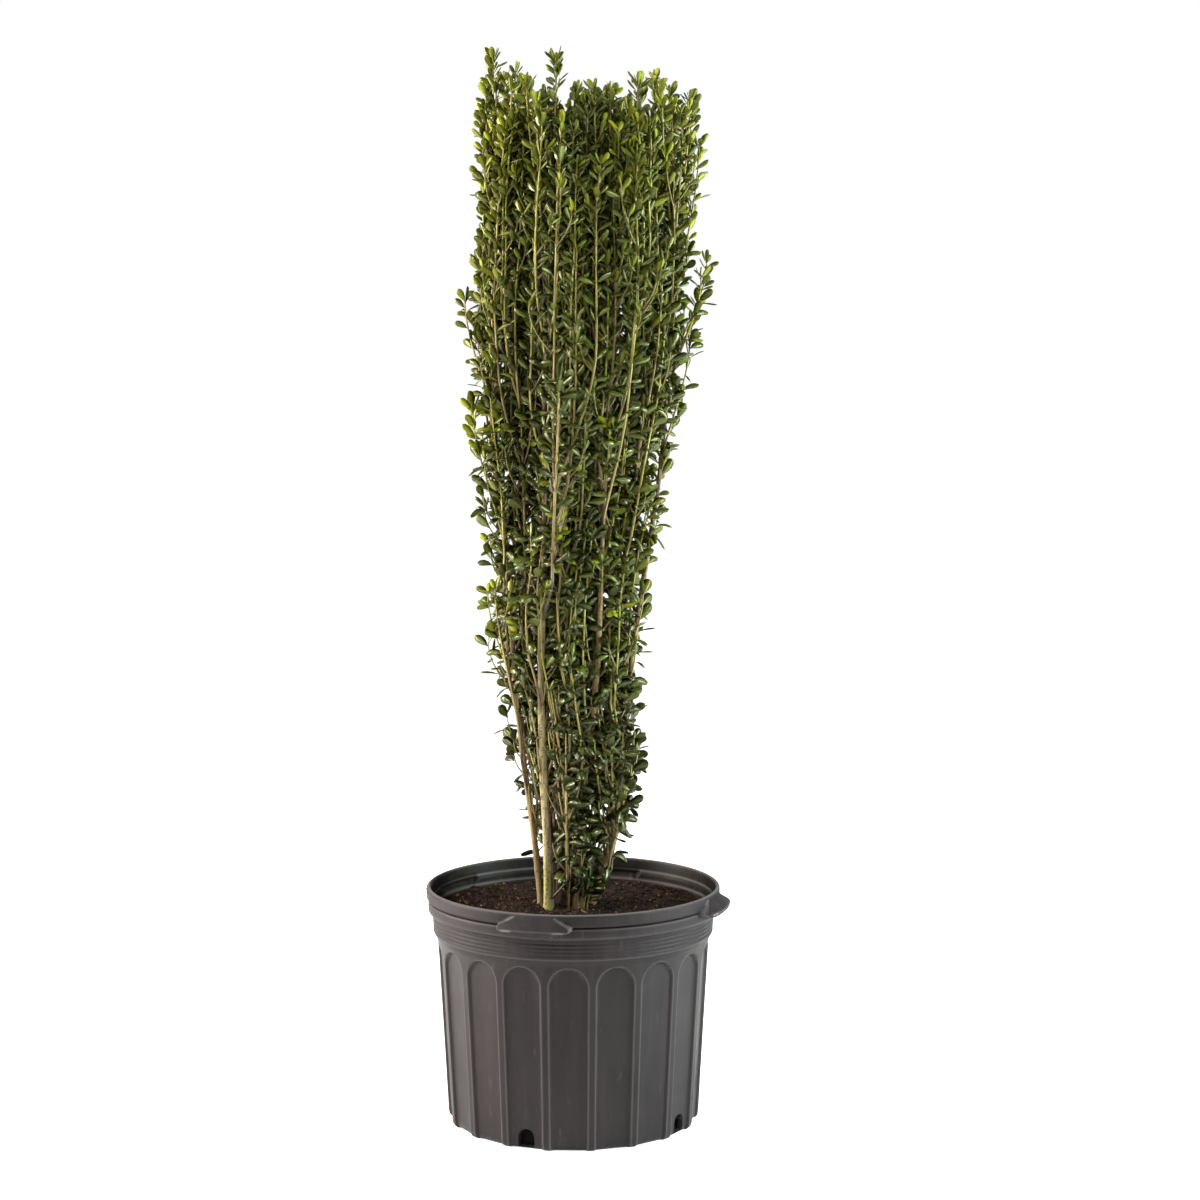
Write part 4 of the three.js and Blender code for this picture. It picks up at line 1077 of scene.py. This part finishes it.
def leafLook(name, upper, under, gloss):  # glossy above with a pale rib and faint veins, dull below
    board = Board(name)
    across, along = board.mapParts()
    below = across > 0.5
    side = abs(across - 0.5 * below - 0.25) / 0.2
    rib = side.between(0.20, 0.04) * along.between(1.0, 0.55)
    vein = (along * 62 - side * 15).wave().between(0.55, 1.0) * side.between(0.05, 0.25)
    edge = side.between(0.78, 1.0)
    pale = tone(*(int(0.62 * value + 0.38 * bright) for value, bright in zip(upper, (190, 196, 120))))
    top = board.mix(vein * 0.16 + edge * 0.12, tone(*upper), pale)
    top = board.mix(rib * 0.55, top, pale)
    lit = tone(*(min(value + 26, 255) for value in under))
    bottom = board.mix(rib * 0.4 + vein * 0.15, tone(*under), lit)
    return board.finish({
        "Base Color": board.mix(below, top, bottom),
        "Roughness": (0.36 - 0.22 * gloss) + 0.06 * vein + 0.28 * below,
        "Normal": board.relief(0.7 * rib - 0.5 * vein, 0.00025, 0.6),
        "Specular IOR Level": gloss,
        "Specular Tint": (1.0, 1.0, 0.64, 1.0),
    })


def shootLook(name, foot, tip):  # woody and tan at the foot, smooth and green towards the tip
    board = Board(name)
    around, along = board.mapParts()
    ridge = (around * 25.13 + (along * 37).wave() * 0.8).wave()
    node = (along * 150).wave().between(0.82, 1.0)
    base = board.mix(along.between(0.05, 0.75), tone(*foot), tone(*tip))
    base = board.mix(ridge.between(-1, 1) * 0.22, base, tone(*(int(value * 0.66) for value in foot)))
    base = board.mix(node * 0.4, base, tone(126, 96, 58))
    return board.finish({
        "Base Color": base,
        "Roughness": 0.62 - 0.14 * along + 0.08 * node,
        "Normal": board.relief(0.4 * ridge + node, 0.0003),
    })


# dark stems show through the window, and the sky through a narrow notch in the top
stemWindow = {"x": -0.019, "half": 0.011, "foot": 0.34, "top": 0.62, "share": 0.72}
skyNotch = {"x": -0.0065, "half": 0.0040, "foot": 1.185, "top": 1.240}


def clearLeaves(leaves, seed):
    # a leaf that would leave the crown, touch a stem or close the notch is skipped,
    # and a share of those low down, where they thin out
    rib = leafSheet(leaves, np.array([0.35, 0.65, 1.0]))[0]
    keep = crownRadius(rib[:, -1]) < leafRule["farthest"]
    keep &= rib[..., 2].min(1) > soil["level"] + leafRule["aboveSoil"]
    thin = np.interp(rib[:, 0, 2], leafRule["thinHeights"], leafRule["thinShares"])
    middle = rib[:, 1]
    window = (np.abs(middle[:, 0] - stemWindow["x"]) < stemWindow["half"]) & (middle[:, 1] < 0)
    window &= (middle[:, 2] > stemWindow["foot"]) & (middle[:, 2] < stemWindow["top"])
    keep &= np.random.default_rng(seed).random(len(rib)) > np.maximum(thin, stemWindow["share"] * window)
    for name, stem in stems.items():
        place = stemPoint(name, np.minimum(rib[..., 2], stem["rise"]))
        room = np.linalg.norm(rib - place, axis=-1) - stemRadius(name, rib[..., 2])
        keep &= room.min(1) > leafRule["stemRoom"]
        if name in bareStems:
            clear = np.interp(rib[..., 2], (0.40, 0.55), (0.0075, 0.0050))
            hides = (np.abs(rib[..., 0] - place[..., 0]) < clear) & (rib[..., 1] < place[..., 1])
            keep &= ~(hides & (rib[..., 2] < bareStems[name])).any(1)
    above = (rib[:, 1:, 2] - skyNotch["foot"]) / (skyNotch["top"] - skyNotch["foot"])
    notch = (np.abs(rib[:, 1:, 0] - skyNotch["x"]) < skyNotch["half"] * above) & (above < 1)
    keep &= ~notch.any(1)
    return {key: value[keep] for key, value in leaves.items()}


def taper(paths, ends):  # radii that fall evenly along each path
    return np.broadcast_to(np.linspace(*ends, paths.shape[1]), paths.shape[:2])


def growShoots():
    twigs = [topTwigs()]
    for tier, rule in tiers.items():
        twigs.append(tierTwigs(addBoughs(tier), rule["rise"]))
    main = np.concatenate(twigs)
    heights = np.linspace(0.30, 0.93, 90)
    carriers = [stemPoint(name, heights[heights < stem["rise"]]) for name, stem in stems.items()]
    carriers += list(main)
    side = np.concatenate([sideShoots(carriers), plainPaths(carriers)])
    limbs = np.stack([
        stemPoint(name, np.linspace(leafFrom.get(name, 0.34), stem["rise"], side.shape[1]))
        for name, stem in stems.items()])
    both = np.concatenate([resample(main, side.shape[1]), side] + [limbs] * 6)  # more spurs on the stems
    short = np.concatenate([spurs(both, shootRule["spurs"], 5), footSprouts(7)])
    print("shoots:", len(main), "main,", len(side), "side,", len(short), "spurs")
    return {"main": main, "green": side[0::2], "brown": side[1::2], "spur": short}, limbs


# radius, sides, bare share at the foot, and tones at foot and tip
twigKinds = {
    "main": ("mainRadius", 6, 0.04, ((94, 80, 46), (152, 134, 70))),
    "green": ("sideRadius", 6, 0.10, ((130, 115, 64), (154, 152, 60))),
    "brown": ("sideRadius", 6, 0.10, ((98, 83, 48), (142, 128, 62))),
    "spur": ("spurRadius", 4, 0.14, ((104, 82, 48), (120, 115, 48))),
}


def addCrown():
    masses = tuple(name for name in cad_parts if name.startswith("foliage_"))
    shoots, limbs = growShoots()
    groups = []
    for number, (kind, (size, sides, bare, tones)) in enumerate(twigKinds.items()):
        paths = shoots[kind]
        points, faces, cornerMap = tubes(paths, taper(paths, shootRule[size]), sides)
        look = shootLook(f"{kind}_twig", *tones)
        addPiece(f"twigs_{kind}", points, faces, [look], masses, cornerMap=cornerMap)
        spacing = leafRule["spacing"] * (leafRule["mainCrowd"] if kind == "main" else 1)
        groups.append(leafPlaces(paths, shootRule[size], bare, spacing, 60 + number))
    groups.append(leafPlaces(limbs, leafRule["limbRadii"], leafRule["limbBare"], leafRule["limbSpacing"], 70))
    leaves = clearLeaves(shapeLeaves(joinLeaves(groups), 9), 13)
    print("leaves:", len(leaves["share"]))
    limits = np.cumsum([tint[0] for tint in tints.values()])[:-1]
    step = np.digitize(leaves["youth"].argsort().argsort() / len(leaves["youth"]), limits)
    for number, (name, tint) in enumerate(tints.items()):
        chosen = {key: value[step == number] for key, value in leaves.items()}
        points, faces, cornerMap = leavesMesh(chosen)
        look = leafLook(f"leaf_{name}", *tint[1:])
        addPiece(f"leaves_{name}", points, faces, [look], masses, cornerMap=cornerMap)


def resample(paths, rows):  # the same paths with another number of rows
    share = np.tile(np.linspace(0, 1, rows), len(paths))
    owner = np.repeat(np.arange(len(paths)), rows)
    return alongPath(paths, owner, share)[0].reshape(len(paths), rows, 3)


# Studio: a pale floor, an even white surround and three soft lights
studio = {
    "surround": 0.26, "floorSize": 60.0, "floorGlow": 0.50,
    "sun": {"power": 1.90, "angle": 17, "turn": (50, 0, -42)},
    "left": {"place": (-2.3, 0.15, 1.4), "size": (0.9, 2.4), "power": 224, "colour": (1.0, 0.93, 0.88)},
    "right": {"place": (2.25, -0.40, 1.3), "size": (0.9, 2.4), "power": 170, "colour": (0.87, 1.0, 1.0)},
    "back": {"place": (0.0, 1.7, 0.50), "size": (2.4, 0.7), "power": 3.5, "colour": (1.0, 1.0, 1.0)},
}


def addFloor():
    half = studio["floorSize"] / 2
    mesh = bpy.data.meshes.new("floor")
    corners = [(-half, -half, 0), (half, -half, 0), (half, half, 0), (-half, half, 0)]
    mesh.from_pydata(corners, [], [(0, 1, 2, 3)])
    board = Board("floor")
    white = tone(250, 250, 249)
    look = board.finish({
        "Base Color": white,
        "Roughness": 0.9,
        "Emission Color": white,
        "Emission Strength": studio["floorGlow"],
    })
    mesh.materials.append(look)
    floor = bpy.data.objects.new("floor", mesh)
    scene.collection.objects.link(floor)


def addLights():
    world = bpy.data.worlds.new("surround")
    scene.world = world
    world.use_nodes = True
    nodes = world.node_tree.nodes
    links = world.node_tree.links
    light = nodes["Background"]
    light.inputs["Strength"].default_value = studio["surround"]
    light.inputs["Color"].default_value = (1, 1, 1, 1)
    seen = nodes.new("ShaderNodeBackground")
    seen.inputs["Color"].default_value = (1, 1, 1, 1)
    ray = nodes.new("ShaderNodeLightPath")
    choice = nodes.new("ShaderNodeMixShader")
    links.new(ray.outputs["Is Camera Ray"], choice.inputs[0])
    links.new(light.outputs[0], choice.inputs[1])
    links.new(seen.outputs[0], choice.inputs[2])
    links.new(choice.outputs[0], nodes["World Output"].inputs["Surface"])
    lamp = bpy.data.lights.new("sun", "SUN")
    lamp.energy = studio["sun"]["power"]
    lamp.angle = math.radians(studio["sun"]["angle"])
    sun = bpy.data.objects.new("sun", lamp)
    sun.rotation_euler = [math.radians(value) for value in studio["sun"]["turn"]]
    scene.collection.objects.link(sun)
    for name in ("left", "right", "back"):
        addPanel(name, studio[name])


def addPanel(name, panel):  # a soft panel that faces the plant's axis
    lamp = bpy.data.lights.new(name, "AREA")
    lamp.shape = "RECTANGLE"
    lamp.size, lamp.size_y = panel["size"]
    lamp.energy = panel["power"]
    lamp.color = panel["colour"]
    holder = bpy.data.objects.new(name, lamp)
    holder.location = panel["place"]
    away = math.atan2(panel["place"][0], -panel["place"][1])
    holder.rotation_euler = (math.radians(90), 0, away)
    holder.visible_camera = False
    scene.collection.objects.link(holder)


scene.view_settings.view_transform = "Standard"
barks = {
    "pale": barkLook("stem_pale", tone(168, 156, 112), tone(122, 108, 72), tone(150, 146, 78), 0.60),
    "tan": barkLook("stem_tan", tone(142, 118, 74), tone(92, 72, 44), tone(114, 95, 56), 0.64),
    "shade": barkLook("stem_shade", tone(80, 60, 38), tone(48, 35, 22), tone(56, 42, 26)),
}
# painted shade: the boughs' bark is kept dark, as the inside of the crown is shaded
boughBark = barkLook("bough_wood", tone(88, 71, 46), tone(54, 42, 28), tone(60, 47, 31))
addCamera()
addPot()
addSoil()
addStems()
addCrown()
addFloor()
addLights()
